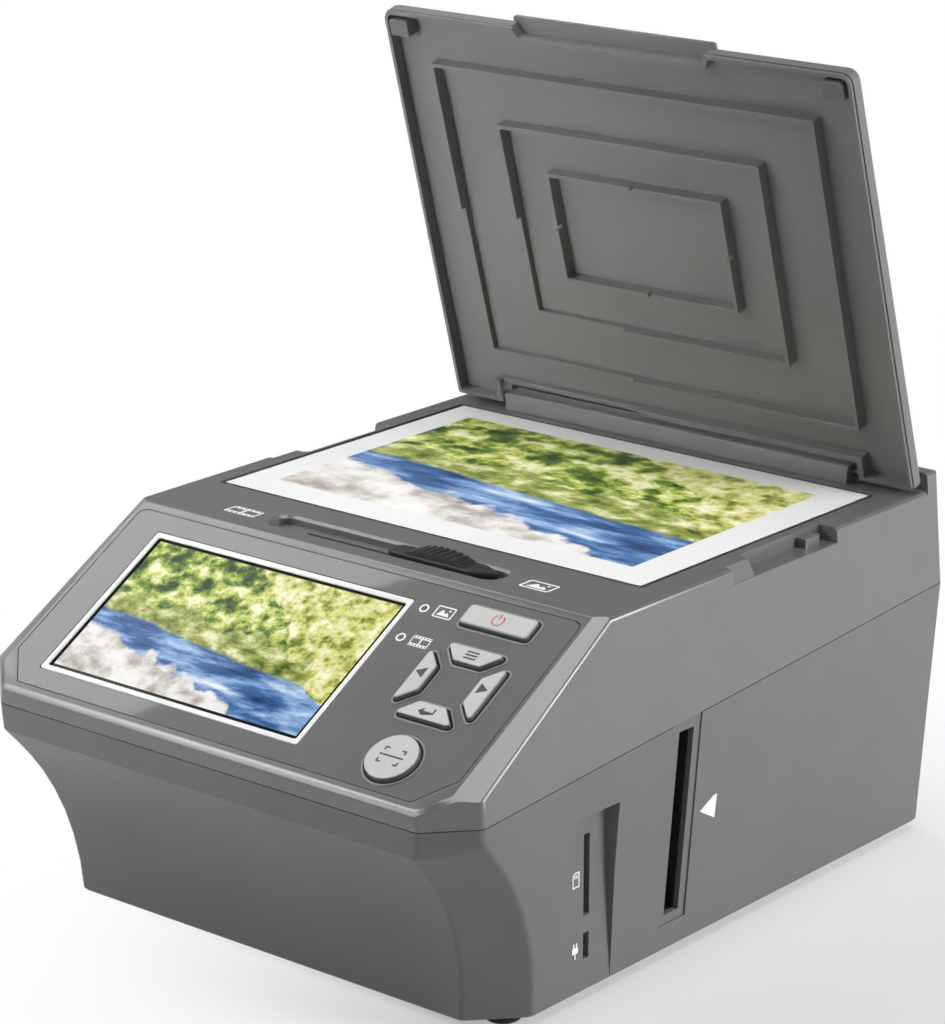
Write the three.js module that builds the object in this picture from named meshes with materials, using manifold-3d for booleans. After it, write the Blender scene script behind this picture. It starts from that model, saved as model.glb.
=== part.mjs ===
// Desktop film and photo scanner: a moulded body with a sloping display panel, a glass bed
// under a hinged lid, a film slot from side to side and a camera carriage worked by a slider.
// Millimetres. X to the right, Y from the front to the back, Z up. The origin is on the desk
// under the middle of the body.

import * as THREE from "three";
import { mergeVertices } from "three/addons/utils/BufferGeometryUtils.js";
import Module from "manifold-3d";

const wasm = await Module();
wasm.setup();

// Sizes of the body
const upperFlare = 4.1;
const lowerTaper = 6.5;
const chinHeight = 6.17;
const footHeight = 3;
const seamRise = 16.4;
const backLean = 0.3;
const wall = 2.6;
const baseEdge = 0.8;
const cornerWidth = 15.2;
const cornerDepth = 13.5;
const cornerRound = 3;
const rearCornerRound = 2;
const noseSeamGap = 8.6;
const noseSideSeamGap = 4;
const noseSetback = 28.2;
const noseSideSetback = 44.7;
const noseEdge = 1.6;
const noseBowShare = 0.98;
const noseSideBowShare = 0.98;
const lipHeight = 2;
const lipInset = 1.4;
const rearBarDepth = 7.1;
const rearBarGap = 2.6;
const rearBarHeight = 6.2;
const rearBarRound = 2.2;

// Sizes of the sloping panel and the deck
const panelAngle = THREE.MathUtils.degToRad(30);
const panelWall = 4.4;
const chinRound = 4.5;
const bendRound = 2.5;
const deckEdgeRound = 2.2;
const bevelInset = 4.3;
const bevelRun = 5.2;
const bevelDrop = 2.6;

// Sizes of the fascia and the display
const fasciaTop = 3.2;
const fasciaBottom = 3.76;
const fasciaBorder = 5.6;
const fasciaChamferWidth = 10.3;
const fasciaChamferHeight = 12.2;
const fasciaRound = 3;
const fasciaThickness = 1.6;
const displayLeftMargin = 13.8;
const displayTopMargin = 7.8;
const displayBottomMargin = 7.6;
const displayWidth = 112.3;
const displayHeight = 64.7;
const displayBorder = 1.9;
const displayFrameThickness = 0.8;
const displayThickness = 3.2;
const displayOverlap = 1;

// Sizes of the buttons
const powerWidth = 26.8;
const powerHeight = 8;
const powerOffset = 35.2;
const powerDown = 11.9;
const powerRound = 1;
const keyRingOffset = 35.6;
const keyRingGap = 8.2;
const keyInner = 8.9;
const keyOuter = 15.4;
const keyInnerHalf = 5.3;
const keyOuterHalf = 11.6;
const keyRound = 0.9;
const scanRadius = 9;
const scanOffset = 35.7;
const scanGap = 7.1;
const scanMargin = 3.3;
const keysRightMargin = 26.2;
const buttonRise = 1.9;
const buttonBevel = 0.7;
const buttonFlange = 0.9;
const flangeThickness = 0.8;
const buttonTravel = 0.8;
const indicatorOffset = 5.4;
const indicatorRadius = 1.1;
const indicatorRise = 0.2;
const photoIndicatorDown = 13.2;
const filmIndicatorDown = 26.3;
const switchSize = 6;
const switchHeight = 3;
const boardThickness = 1.6;
const keyBoardMargin = 2.5;
const keyBoardGap = 1;
const ribbonWidth = 16;
const ribbonThickness = 0.5;
const ribbonOffset = 2;
const ribbonBow = 9;

// Sizes of the glass bed
const bedCentre = -1.2;
const bedMargin = 7.6;
const bedSliderGap = 13.1;
const bedDrop = 0.4;
const glassMargin = 1.5;
const glassThickness = 2;
const bedLedge = 5;
const bedLedgeThickness = 1.6;
const bedWall = 2;
const printWidth = 178;
const printDepth = 127;
const printThickness = 0.3;
const lightRibHeight = 22;
const lightRibThickness = 1.6;
const lightStripHeight = 8;
const lightStripMargin = 13.3;
const lampSize = 3;
const lampHeight = 1.2;
const lampCount = 8;

// Sizes of the finger notches in the deck's edges
const notchMargin = 33.5;
const notchLength = 58;
const notchDeepStart = 12.4;
const notchDepth = 5.2;
const notchReach = 6.6;
const notchChamfer = 2.2;
const notchStepLength = 8.5;
const notchStepWidth = 4;
const notchStepMargin = 3.9;
const notchStepDrop = 2;
const notchRound = 2.4;
const notchBacking = 2.2;

// Sizes of the mode slider
const slotWidth = 11.2;
const slotDepth = 3;
const slotBevel = 0.9;
const slotEndGap = 1.3;
const sliderMargin = 7.9;
const knobLength = 44;
const knobWidth = 8.8;
const knobBase = 3.4;
const knobTip = 9;
const knobHumpLength = 27;
const knobHumpWidth = 7.4;
const knobHumpRise = 3.4;
const knobHumpOffset = -3;
const knobRibs = 10;
const knobRibDepth = 0.5;
const modeTravel = 52;
const stemLength = 18;
const stemWidth = 3.6;
const slotThickening = 5;
const slotMargin = 3;

// Sizes of the lid
const lidBedMargin = 13.2;
const lidTaper = 1.4;
const lidThickness = 5.8;
const lidPlate = 1.4;
const lidRim = 1.8;
const lidCorner = 4;
const lidRearCorner = 1.8;
const lidOverhang = 0.5;
const lidEdgeBevel = 1.2;
const lidRimInset = 0.5;
const lidRimHeight = 1.2;
const lidAngle = THREE.MathUtils.degToRad(73.8);
const hingeBarBedGap = 3.8;
const hingeRise = 3.9;
const hingeFromRim = 2.6;
const hingeFromEdge = 2.1;
const ribThickness = 1.4;
const ribStep = 2.2;
const outerRibInset = 18.8;
const outerRibNear = 19.95;
const outerRibEnd = 18.6;
const middleRibInset = 44.1;
const middleRibNear = 40.1;
const middleRibEnd = 38.8;
const innerRibInset = 62.5;
const innerRibNear = 57.3;
const innerRibEnd = 54.9;
const ribStepAcross = -15;
const ribStepAlong = 79;
const ribNotch = 1.6;
const gripHalfWidth = 38.4;
const gripDepth = 4;
const gripLip = 2.1;
const gripFlare = 4.3;
const padWidth = 8.4;
const padLength = 6.2;
const padInset = 1.3;
const padProud = 1.2;

// Sizes of the hinge
const hingeNotchInset = 21.8;
const hingeNotchDepth = 7.4;
const hingeNotchWall = 2.2;
const hingeBarGap = 3.2;
const hingeBarHeight = 6.6;
const hingeBarFront = 4.9;
const hingeBarBack = 3.4;
const hingeBarRound = 2;
const hingePinRadius = 1.2;
const hingePinLength = 11.9;
const hingePinInside = 7.4;
const hingePinCover = 0.6;

// Sizes of the film passage
const filmSlotMargin = 3.4;
const filmSlotSeamGap = 3.54;
const filmSlotWidth = 7.7;
const filmSlotBottom = 15.6;
const filmSlotHeight = 63.7;
const filmFrameMargin = 3.3;
const filmFrameDepth = 0.6;
const filmWall = 1.7;
const filmWindowWidth = 40;
const filmWindowHeight = 28;
const diffuserThickness = 2;
const backlightThickness = 6;
const backlightMargin = 4;
const filmFootAcross = 62;
const filmFootThickness = 2;

// Sizes of the port pocket, its board and sockets
const pocketMargin = 14.8;
const pocketWidth = 20.6;
const pocketWidthAtBase = 24.2;
const pocketRimWidth = 22;
const pocketTopMargin = 8.8;
const cardSlotMargin = 11.8;
const cardSlotWidth = 2.9;
const cardSlotGap = 6;
const cardSlotHeight = 27.1;
const usbSlotMargin = 11.7;
const usbSlotWidth = 2.8;
const usbSlotBottom = 14.2;
const usbSlotHeight = 8.7;
const socketWall = 0.8;
const cardSocketLength = 27;
const usbSocketLength = 7.5;
const mainBoardLength = 102;
const mainBoardHeight = 56;
const boardGuideWidth = 10;
const boardGuideHeight = 5;

// Sizes of the camera and its carriage
const mirrorWidth = 50;
const mirrorLength = 50;
const mirrorThickness = 2;
const cheekThickness = 2.4;
const rodRadius = 3;
const rodHeight = 16;
const frontRodOffset = 25.1;
const rearRodOffset = 34.9;
const rodEndMargin = 2.4;
const cradleLength = 5;
const cradleGap = 2.9;
const cradleWidth = 11;
const bushingRadius = 5.2;
const bushingLength = 12;
const carriagePlate = 2.4;
const carriageMargin = 6;
const carriageWindow = 12;
const lensHolderThickness = 3;
const lensHolderMargin = 5;
const closeupRadius = 12.6;
const closeupThickness = 2.4;
const closeupCrown = 2.2;
const closeupOffset = 31.9;
const armThickness = 2.6;
const armWidth = 10;
const armRise = 4.5;
const armLeft = 22;
const armLegGap = 5.8;
const barrelRadius = 8;
const barrelNoseRadius = 6.4;
const barrelLength = 17;
const barrelNoseLength = 6;
const lensRecess = 1.6;
const lensOpeningRadius = 4.6;
const bracketOffset = 62.9;
const bracketWidth = 44;
const bracketMargin = 1.5;
const bracketThickness = 2.4;
const bracketFoot = 8;
const cameraBoardWidth = 34;
const plugHeight = 3;

// Sizes of the case screws, their posts and the feet
const frontPostInset = 15.6;
const frontPostMargin = 16.6;
const rearPostInset = 29.6;
const rearPostMargin = 13;
const postRadius = 4.6;
const postBore = 3.4;
const postShoulder = 2.6;
const postSeamGap = 5.2;
const screwRadius = 1.3;
const screwHeadRadius = 2.8;
const screwHeadHeight = 2;
const screwLength = 11;
const pilotDepth = 14;
const footRadius = 6;
const footEdge = 0.7;
const frontFootInset = 11.5;
const frontFootMargin = 16.2;
const rearFootInset = 10.5;
const rearFootMargin = 16;

// Clearances
const seatGap = 0.3;
const keyGap = 0.35;
const slideGap = 0.3;
const screwGap = 0.4;
const sink = 1;
const overrun = 1;
const reach = 600;
const weldTolerance = 0.0001;

// Counts
const cornerSteps = 2;
const rearCornerSteps = 4;
const noseSteps = 10;
const roundSteps = 3;
const roundSides = 20;
const smallSides = 12;
const crownSteps = 3;
const ribSteps = 4;
const smallRadius = 5;
const ribbonSteps = 12;
const settlingPasses = 6;

// Widths: the body is as wide as the bed, the panel and the carriage's travel need.
const glassWidth = printWidth + 2 * glassMargin;
const glassDepth = printDepth + 2 * glassMargin;
const bedWidth = glassWidth + 2 * seatGap;
const bedDepth = glassDepth + 2 * seatGap;
const keysWidth = keyRingOffset + keysRightMargin;
const fasciaHalfWidth = (displayLeftMargin + displayWidth + keysWidth) / 2;
const carriageSide = mirrorWidth / 2 + carriageMargin + modeTravel;
const carriageNeed = carriageSide + cradleGap + cradleLength + rodEndMargin + wall + lowerTaper - upperFlare;
const deckHalfWidth = Math.max(
  Math.abs(bedCentre) + bedWidth / 2 + bedMargin,
  fasciaHalfWidth + fasciaBorder,
  carriageNeed,
);
const seamHalfWidth = deckHalfWidth + upperFlare;
const baseHalfWidth = seamHalfWidth - lowerTaper;
const lidHalfWidth = deckHalfWidth + lidOverhang;
const lidFreeHalfWidth = lidHalfWidth - lidTaper;
const hingeNotchHalfWidth = lidHalfWidth - hingeNotchInset;
const bevelStart = deckHalfWidth - bevelInset;

// The panel: the display and the keys, measured from its left edge and down its slope
const displayTop = fasciaTop + displayTopMargin;
const displayRight = displayLeftMargin + displayWidth - fasciaHalfWidth;
const displayCentre = displayRight - displayWidth / 2;
const powerAcross = displayRight + powerOffset;
const keyRingAcross = displayRight + keyRingOffset;
const scanAcross = displayRight + scanOffset;
const indicatorAcross = displayRight + indicatorOffset;
const keyRingDown = powerDown + powerHeight / 2 + keyRingGap + keyOuter;
const scanDown = keyRingDown + keyOuter + scanGap + scanRadius;
const fasciaHeight = Math.max(
  displayTopMargin + displayHeight + displayBottomMargin,
  scanDown + scanRadius + scanMargin - fasciaTop,
);
const keyBoardLeft = displayRight - displayOverlap + keyBoardGap;
const keyBoardRight = fasciaHalfWidth - keyBoardMargin;
const keyBoardWidth = keyBoardRight - keyBoardLeft;
const keyBoardHeight = fasciaHeight - 2 * keyBoardMargin;
const keyBoardAcross = (keyBoardLeft + keyBoardRight) / 2;
const keyBoardDown = fasciaTop + fasciaHeight / 2;
const ribbonAcross = keyRingAcross - ribbonOffset;

// Depths, counted back from the front
const panelBend = (fasciaTop + fasciaHeight + fasciaBottom) * Math.cos(panelAngle);
const sliderBack = panelBend + sliderMargin + slotWidth / 2;
const bedFront = sliderBack + slotWidth / 2 + bedSliderGap;
const bedMiddle = bedFront + bedDepth / 2;
const hingeBack = bedFront + bedDepth + hingeBarBedGap + hingeBarFront;
const bodyDepth = hingeBack + hingeBarBack + rearBarGap + rearBarDepth;
const lidLength = hingeFromEdge + hingeBack - bedFront + lidBedMargin;
const lightStripLength = bedDepth - 2 * lightStripMargin;
const notchFront = bedFront + notchMargin;
const notchDeepFront = notchFront + notchDeepStart;
const filmSlotFront = bedFront + filmSlotMargin;
const pocketFront = noseSideSetback + pocketMargin;
const pocketBack = pocketFront + pocketWidth;
const pocketBackAtBase = pocketFront + pocketWidthAtBase;
const pocketRim = pocketFront + pocketRimWidth;
const cardSlotBack = pocketFront + cardSlotMargin;
const usbSlotBack = pocketFront + usbSlotMargin;
const mirrorBack = bedMiddle;
const frontRodBack = mirrorBack - frontRodOffset;
const rearRodBack = mirrorBack + rearRodOffset;
const closeupBack = mirrorBack + closeupOffset;
const bracketBack = mirrorBack + bracketOffset;
const carriageFront = frontRodBack - bushingRadius - carriageMargin / 2;
const armLegBack = carriageFront - armLegGap;

// Heights
const filmSlotMiddle = filmSlotFront + filmSlotWidth / 2;
const filmSlotTop = filmSlotBottom + filmSlotHeight;
const seamHeight = filmSlotTop + filmSlotSeamGap - (seamRise * filmSlotMiddle) / bodyDepth;
const noseHeight = seamHeight - noseSeamGap;
const noseSideHeight = seamHeight - noseSideSeamGap;
const deckHeight = seamHeight + chinHeight + panelBend * Math.tan(panelAngle);
const hingeHeight = deckHeight + hingeRise;
const cardSlotBottom = usbSlotBottom + usbSlotHeight + cardSlotGap;
const pocketTop = cardSlotBottom + cardSlotHeight + pocketTopMargin;
const opticalHeight = filmSlotBottom + filmSlotHeight / 2;
const bracketTop = opticalHeight + cameraBoardWidth / 2 + bracketMargin;
const postTop = seamHeight - postSeamGap;
const bodyTop = deckHeight + rearBarHeight;
const floorTop = footHeight + wall;
const glassTop = deckHeight - bedDrop;
const bedBottom = glassTop - glassThickness;
const barHeight = deckHeight + hingeBarHeight;

// Places in the assembly's own axes
const frontY = -bodyDepth / 2;
const backY = bodyDepth / 2;
const fromFront = (distance) => frontY + distance;
const seamAt = (y) => seamHeight + (seamRise * (y - frontY)) / bodyDepth;
const sideLean = (seamHalfWidth - deckHalfWidth) / (deckHeight - seamHeight);
const barFrontY = backY - rearBarDepth;
const bedMiddleY = fromFront(bedMiddle);
const filmCentreY = fromFront(filmSlotMiddle);
const knobCentre = modeTravel / 2;
const trackLength = modeTravel + knobLength + 2 * slotEndGap;
const pocketFace = baseHalfWidth;
const frontPostAcross = deckHalfWidth - frontPostInset;
const frontPostBack = panelBend + frontPostMargin;
const rearPostAcross = deckHalfWidth - rearPostInset;
const rearPostBack = bodyDepth - rearPostMargin;
const frontFootAcross = baseHalfWidth - frontFootInset;
const frontFootBack = noseSetback + frontFootMargin;
const rearFootAcross = baseHalfWidth - rearFootInset;
const rearFootBack = bodyDepth - rearFootMargin;

// Colours and finishes
const moulded = { color: 0x77797a, roughness: 0.55, metalness: 0 };
const mouldedDark = { color: 0x5e5f5f, roughness: 0.6, metalness: 0 };
const fasciaFinish = { color: 0x6b6c6c, roughness: 0.35, metalness: 0 };
const keyFinish = { color: 0xc9c9c9, roughness: 0.45, metalness: 0 };
const whiteFinish = { color: 0xf0f0ee, roughness: 0.5, metalness: 0 };
const blackPlastic = { color: 0x1b1b1c, roughness: 0.5, metalness: 0 };
const rubberFinish = { color: 0x222223, roughness: 0.85, metalness: 0 };
const steelFinish = { color: 0xb9bcc0, roughness: 0.3, metalness: 1 };
const boardFinish = { color: 0x1e5a38, roughness: 0.5, metalness: 0 };
const glassFinish = { color: 0xbfd2cf, roughness: 0.05, metalness: 0 };
const mirrorFinish = { color: 0xe8ecee, roughness: 0.03, metalness: 1 };
const printFinish = { color: 0xdfe2dc, roughness: 0.4, metalness: 0 };
const opalFinish = { color: 0xf4f4f0, roughness: 0.6, metalness: 0 };
const ribbonFinish = { color: 0xd8d8d2, roughness: 0.6, metalness: 0 };

// Turns a closed geometry into a solid that can be cut and joined.
function solid(geometry, matrix) {
  const bare = new THREE.BufferGeometry();
  bare.setAttribute("position", geometry.getAttribute("position").clone());
  if (geometry.index) bare.setIndex(geometry.index.clone());
  if (matrix) bare.applyMatrix4(matrix);
  const merged = mergeVertices(bare, weldTolerance);
  const vertProperties = new Float32Array(merged.getAttribute("position").array);
  const triVerts = new Uint32Array(merged.index.array);
  return new wasm.Manifold(new wasm.Mesh({ numProp: 3, vertProperties, triVerts }));
}

// Names a solid, gives it its finish and puts it into a group.
function place(group, name, body, finish) {
  const mesh = body.getMesh();
  const geometry = new THREE.BufferGeometry();
  geometry.setAttribute("position", new THREE.BufferAttribute(mesh.vertProperties, mesh.numProp));
  geometry.setIndex(new THREE.BufferAttribute(mesh.triVerts, 1));
  geometry.computeVertexNormals();
  const piece = new THREE.Mesh(geometry, new THREE.MeshStandardMaterial(finish));
  piece.name = name;
  group.add(piece);
  return piece;
}

const join = (bodies) => bodies.reduce((whole, body) => whole.add(body));
const cut = (body, tools) => tools.reduce((rest, tool) => rest.subtract(tool), body);

// A block between two corners.
function block(low, high) {
  const size = high.map((value, axis) => value - low[axis]);
  const centre = high.map((value, axis) => (value + low[axis]) / 2);
  return solid(new THREE.BoxGeometry(...size).translate(...centre));
}

// A block that is centred on X and Y, between two heights.
function centredBlock(x, y, width, depth, bottom, top) {
  return block([x - width / 2, y - depth / 2, bottom], [x + width / 2, y + depth / 2, top]);
}

const xAxis = new THREE.Vector3(1, 0, 0);
const yAxis = new THREE.Vector3(0, 1, 0);
const zAxis = new THREE.Vector3(0, 0, 1);
const alongX = new THREE.Matrix4().makeBasis(yAxis, zAxis, xAxis);

// An outline of [first, second] pairs as a shape.
function outlineShape(points) {
  return new THREE.Shape(points.map(([first, second]) => new THREE.Vector2(first, second)));
}

// A flat outline drawn out between two levels, along Z or along the axis of a matrix.
function prism(shape, from, to, matrix) {
  const geometry = new THREE.ExtrudeGeometry(shape, { depth: to - from, bevelEnabled: false });
  geometry.translate(0, 0, from);
  return solid(geometry, matrix);
}

// A plate whose two faces have rounded edges.
function bevelledPlate(shape, from, to, bevel) {
  const geometry = new THREE.ExtrudeGeometry(shape, {
    depth: to - from - 2 * bevel,
    bevelThickness: bevel,
    bevelSize: bevel,
    bevelOffset: -bevel,
    bevelSegments: 2,
  });
  geometry.translate(0, 0, from + bevel);
  return solid(geometry);
}

// Small bores, pins and posts get fewer sides than wide ones.
const sidesFor = (radius) => (radius > smallRadius ? roundSides : smallSides);

// A round bar along Z, between two levels.
function roundBar(radius, from, to, x = 0, y = 0) {
  const geometry = new THREE.CylinderGeometry(radius, radius, to - from, sidesFor(radius));
  geometry.rotateX(Math.PI / 2);
  geometry.translate(x, y, (from + to) / 2);
  return solid(geometry);
}

// A round bar along X.
function crossBar(radius, from, to, y, z) {
  const geometry = new THREE.CylinderGeometry(radius, radius, to - from, sidesFor(radius));
  geometry.rotateZ(Math.PI / 2);
  geometry.translate((from + to) / 2, y, z);
  return solid(geometry);
}

// A turned piece about Z from a profile of [radius, height] pairs, bottom to top.
function turned(profile) {
  const points = profile.map(([radius, height]) => new THREE.Vector2(radius, height));
  const widest = Math.max(...profile.map(([radius]) => radius));
  const geometry = new THREE.LatheGeometry(points, sidesFor(widest));
  geometry.rotateX(Math.PI / 2);
  return solid(geometry);
}

// Replaces each corner of an outline by an arc with its own radius and number of steps.
function roundedCorners(corners, radii, steps) {
  return corners.flatMap((corner, index) => {
    const before = corners[(index + corners.length - 1) % corners.length];
    const after = corners[(index + 1) % corners.length];
    const toBefore = before.clone().sub(corner).normalize();
    const toAfter = after.clone().sub(corner).normalize();
    const half = Math.acos(THREE.MathUtils.clamp(toBefore.dot(toAfter), -1, 1)) / 2;
    const setback = radii[index] / Math.tan(half);
    const start = corner.clone().addScaledVector(toBefore, setback);
    const end = corner.clone().addScaledVector(toAfter, setback);
    const bisector = toBefore.add(toAfter).normalize();
    const centre = corner.clone().addScaledVector(bisector, radii[index] / Math.sin(half));
    const first = start.sub(centre).angle();
    const turn = end.sub(centre).angle() - first;
    const sweep = Math.atan2(Math.sin(turn), Math.cos(turn));
    return Array.from({ length: steps[index] + 1 }, (_, step) => {
      const angle = first + (sweep * step) / steps[index];
      const spoke = new THREE.Vector2(Math.cos(angle), Math.sin(angle));
      return centre.clone().addScaledVector(spoke, radii[index]);
    });
  });
}

// Moves every edge of a counter-clockwise outline inwards by the same distance.
function insetOutline(corners, distance) {
  return corners.map((corner, index) => {
    const before = corners[(index + corners.length - 1) % corners.length];
    const after = corners[(index + 1) % corners.length];
    const into = corner.clone().sub(before).normalize();
    const out = after.clone().sub(corner).normalize();
    const first = new THREE.Vector2(-into.y, into.x);
    const second = new THREE.Vector2(-out.y, out.x);
    const share = distance / (1 + first.dot(second));
    return corner.clone().addScaledVector(first.add(second), share);
  });
}

// A rectangle with round corners, as a shape.
function roundedRectangle(x, y, width, height, radius) {
  const corners = [
    new THREE.Vector2(x - width / 2, y - height / 2),
    new THREE.Vector2(x + width / 2, y - height / 2),
    new THREE.Vector2(x + width / 2, y + height / 2),
    new THREE.Vector2(x - width / 2, y + height / 2),
  ];
  const all = (value) => corners.map(() => value);
  return new THREE.Shape(roundedCorners(corners, all(radius), all(cornerSteps)));
}

// A closed skin through rings with the same number of points, with flat ends.
function loft(rings) {
  const count = rings[0].length;
  const positions = rings.flat().flatMap((point) => point.toArray());
  const indices = [];
  for (let ring = 0; ring + 1 < rings.length; ring += 1) {
    for (let point = 0; point < count; point += 1) {
      const here = ring * count + point;
      const next = ring * count + ((point + 1) % count);
      indices.push(here, next, next + count, here, next + count, here + count);
    }
  }
  const flat = (ring) => ring.map((point) => new THREE.Vector2(point.x, point.y));
  const last = (rings.length - 1) * count;
  for (const [a, b, c] of THREE.ShapeUtils.triangulateShape(flat(rings[0]), [])) {
    indices.push(a, c, b);
  }
  for (const [a, b, c] of THREE.ShapeUtils.triangulateShape(flat(rings.at(-1)), [])) {
    indices.push(last + a, last + b, last + c);
  }
  const geometry = new THREE.BufferGeometry();
  geometry.setAttribute("position", new THREE.Float32BufferAttribute(positions, 3));
  geometry.setIndex(indices);
  return solid(geometry);
}

// Cuts away all that lies beyond a plane, on the side that its normal points to.
function cutBeyond(body, plane) {
  const turn = new THREE.Quaternion().setFromUnitVectors(zAxis, plane.normal);
  const middle = plane.normal.clone().multiplyScalar(reach / 2 - plane.constant);
  const matrix = new THREE.Matrix4().compose(middle, turn, new THREE.Vector3(1, 1, 1));
  return body.subtract(solid(new THREE.BoxGeometry(reach, reach, reach), matrix));
}

const cutAll = (body, planes) => planes.reduce(cutBeyond, body);

// The planes that round off the edge between two planes.
function edgeRound(first, second, radius) {
  const cosine = first.normal.dot(second.normal);
  const angle = Math.acos(cosine);
  const firstShare = -first.constant - radius;
  const secondShare = -second.constant - radius;
  const spread = 1 - cosine * cosine;
  const centre = first.normal.clone().multiplyScalar((firstShare - cosine * secondShare) / spread);
  centre.addScaledVector(second.normal, (secondShare - cosine * firstShare) / spread);
  return Array.from({ length: roundSteps }, (_, step) => {
    const turn = ((step + 0.5) / roundSteps) * angle;
    const normal = first.normal.clone().multiplyScalar(Math.sin(angle - turn));
    normal.addScaledVector(second.normal, Math.sin(turn)).normalize();
    return new THREE.Plane(normal, -(normal.dot(centre) + radius));
  });
}

const planeThrough = (normal, point) =>
  new THREE.Plane().setFromNormalAndCoplanarPoint(normal.normalize(), point);
const moveInwards = (plane, distance) => new THREE.Plane(plane.normal, plane.constant + distance);

// The plan of the body at one level: chamfered front corners and round rear corners.
function planOutline({ front, sideFront, back, halfFront, halfBack, edge }, inset) {
  const corners = [
    new THREE.Vector2(-(halfFront - cornerWidth), front),
    new THREE.Vector2(halfFront - cornerWidth, front),
    new THREE.Vector2(halfFront, sideFront),
    new THREE.Vector2(halfBack, back),
    new THREE.Vector2(-halfBack, back),
    new THREE.Vector2(-halfFront, sideFront),
  ];
  const small = Math.max(cornerRound - inset, baseEdge);
  const large = Math.max(rearCornerRound - inset, baseEdge);
  const radii = [small, small, small, large, large, small];
  const steps = radii.map((_, index) => {
    const rear = index === 3 || index === 4;
    return rear ? rearCornerSteps : cornerSteps;
  });
  return roundedCorners(insetOutline(corners, inset + edge), radii, steps);
}

// How far the hollow nose stands back from the front face at a height: an arc that is
// upright at the base and runs out straight to the chin.
function noseArc(height, start, top, base, bowShare) {
  const run = base - top;
  const drop = start - footHeight;
  const radius = (bowShare * (run * run + drop * drop)) / (2 * run);
  const across = top - base + radius;
  const turn = Math.atan2(drop, across) - Math.acos(radius / Math.hypot(drop, across));
  const bendRise = radius * Math.sin(turn);
  const bend = base - radius + radius * Math.cos(turn);
  const rise = Math.min(Math.max(height - footHeight, 0), drop);
  if (rise > bendRise) return bend + ((top - bend) * (rise - bendRise)) / (drop - bendRise);
  return base - radius + Math.sqrt(radius * radius - rise * rise);
}

// A level of the lower case runs from the base (0) to the seam (1), turning from flat to the
// seam's rise on the way, so that the top ring is the seam itself.
const levelHeight = (level, distance) =>
  footHeight + level * (seamHeight - footHeight + (seamRise * distance) / bodyDepth);

function lowerRing(level, inset, edge = 0) {
  let front = 0;
  let side = cornerDepth;
  for (let pass = 0; pass < settlingPasses; pass += 1) {
    front = noseArc(levelHeight(level, front), noseHeight, 0, noseSetback, noseBowShare);
    const sideHeight = levelHeight(level, side);
    side = noseArc(sideHeight, noseSideHeight, cornerDepth, noseSideSetback, noseSideBowShare);
  }
  const half = baseHalfWidth + level * (seamHalfWidth - baseHalfWidth);
  const plan = planOutline({
    front: fromFront(front),
    sideFront: fromFront(side),
    back: backY - (1 - level) * backLean,
    halfFront: half,
    halfBack: half,
    edge,
  }, inset);
  return plan.map(({ x, y }) => new THREE.Vector3(x, y, levelHeight(level, y - frontY)));
}

// The levels of the lower case's rings above its base: the nose's arc and the chin.
const levelOf = (height) => (height - footHeight) / (seamHeight - footHeight);
const arcLevels = Array.from({ length: noseSteps }, (_, step) => {
  const turn = ((step + 1) / noseSteps) * (Math.PI / 2);
  return levelOf(footHeight + (noseHeight - footHeight) * Math.sin(turn));
});
const lowerLevels = [...arcLevels, levelOf(noseHeight + noseEdge), levelOf(noseSideHeight), 1];

// The outside of the lower case, solid, with a small edge round its base.
function lowerOutside() {
  const edge = [lowerRing(0, 0, baseEdge), lowerRing(levelOf(footHeight + baseEdge), 0)];
  return loft([...edge, ...lowerLevels.map((level) => lowerRing(level, 0))]);
}

// The space inside the lower case, open at the top and flat at the floor.
function lowerInside(inset) {
  const rings = [0, ...lowerLevels].map((level) => lowerRing(level, inset));
  const lift = new THREE.Vector3(0, 0, lipHeight + overrun);
  rings.push(rings.at(-1).map((point) => point.clone().add(lift)));
  return cutBeyond(loft(rings), floorPlane);
}

// A ring of the upper case, at a height above the seam or at a level height.
function upperRing(heightAt, inset) {
  const halfAt = (y) => seamHalfWidth - sideLean * (heightAt(y) - seamAt(y));
  const back = backY - (backLean * (heightAt(backY) - seamAt(backY))) / (bodyTop - seamHeight);
  const plan = planOutline({
    front: frontY,
    sideFront: fromFront(cornerDepth),
    back,
    halfFront: halfAt(fromFront(cornerDepth)),
    halfBack: halfAt(back),
    edge: 0,
  }, inset);
  return plan.map(({ x, y }) => new THREE.Vector3(x, y, heightAt(y)));
}

function upperSkin(inset, belowSeam = 0) {
  const bottom = upperRing((y) => seamAt(y) + seamGap - belowSeam, inset);
  return loft([bottom, upperRing(() => bodyTop + overrun, inset)]);
}

// A band between two insets that follows the seam, between two heights over it.
function seamBand(inset, from, to) {
  const ring = upperRing((y) => seamAt(y), inset);
  const lifted = (height) => ring.map((point) => point.clone().setZ(point.z + height));
  return loft([lifted(from), lifted(to)]);
}

const seamGap = seatGap;

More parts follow.
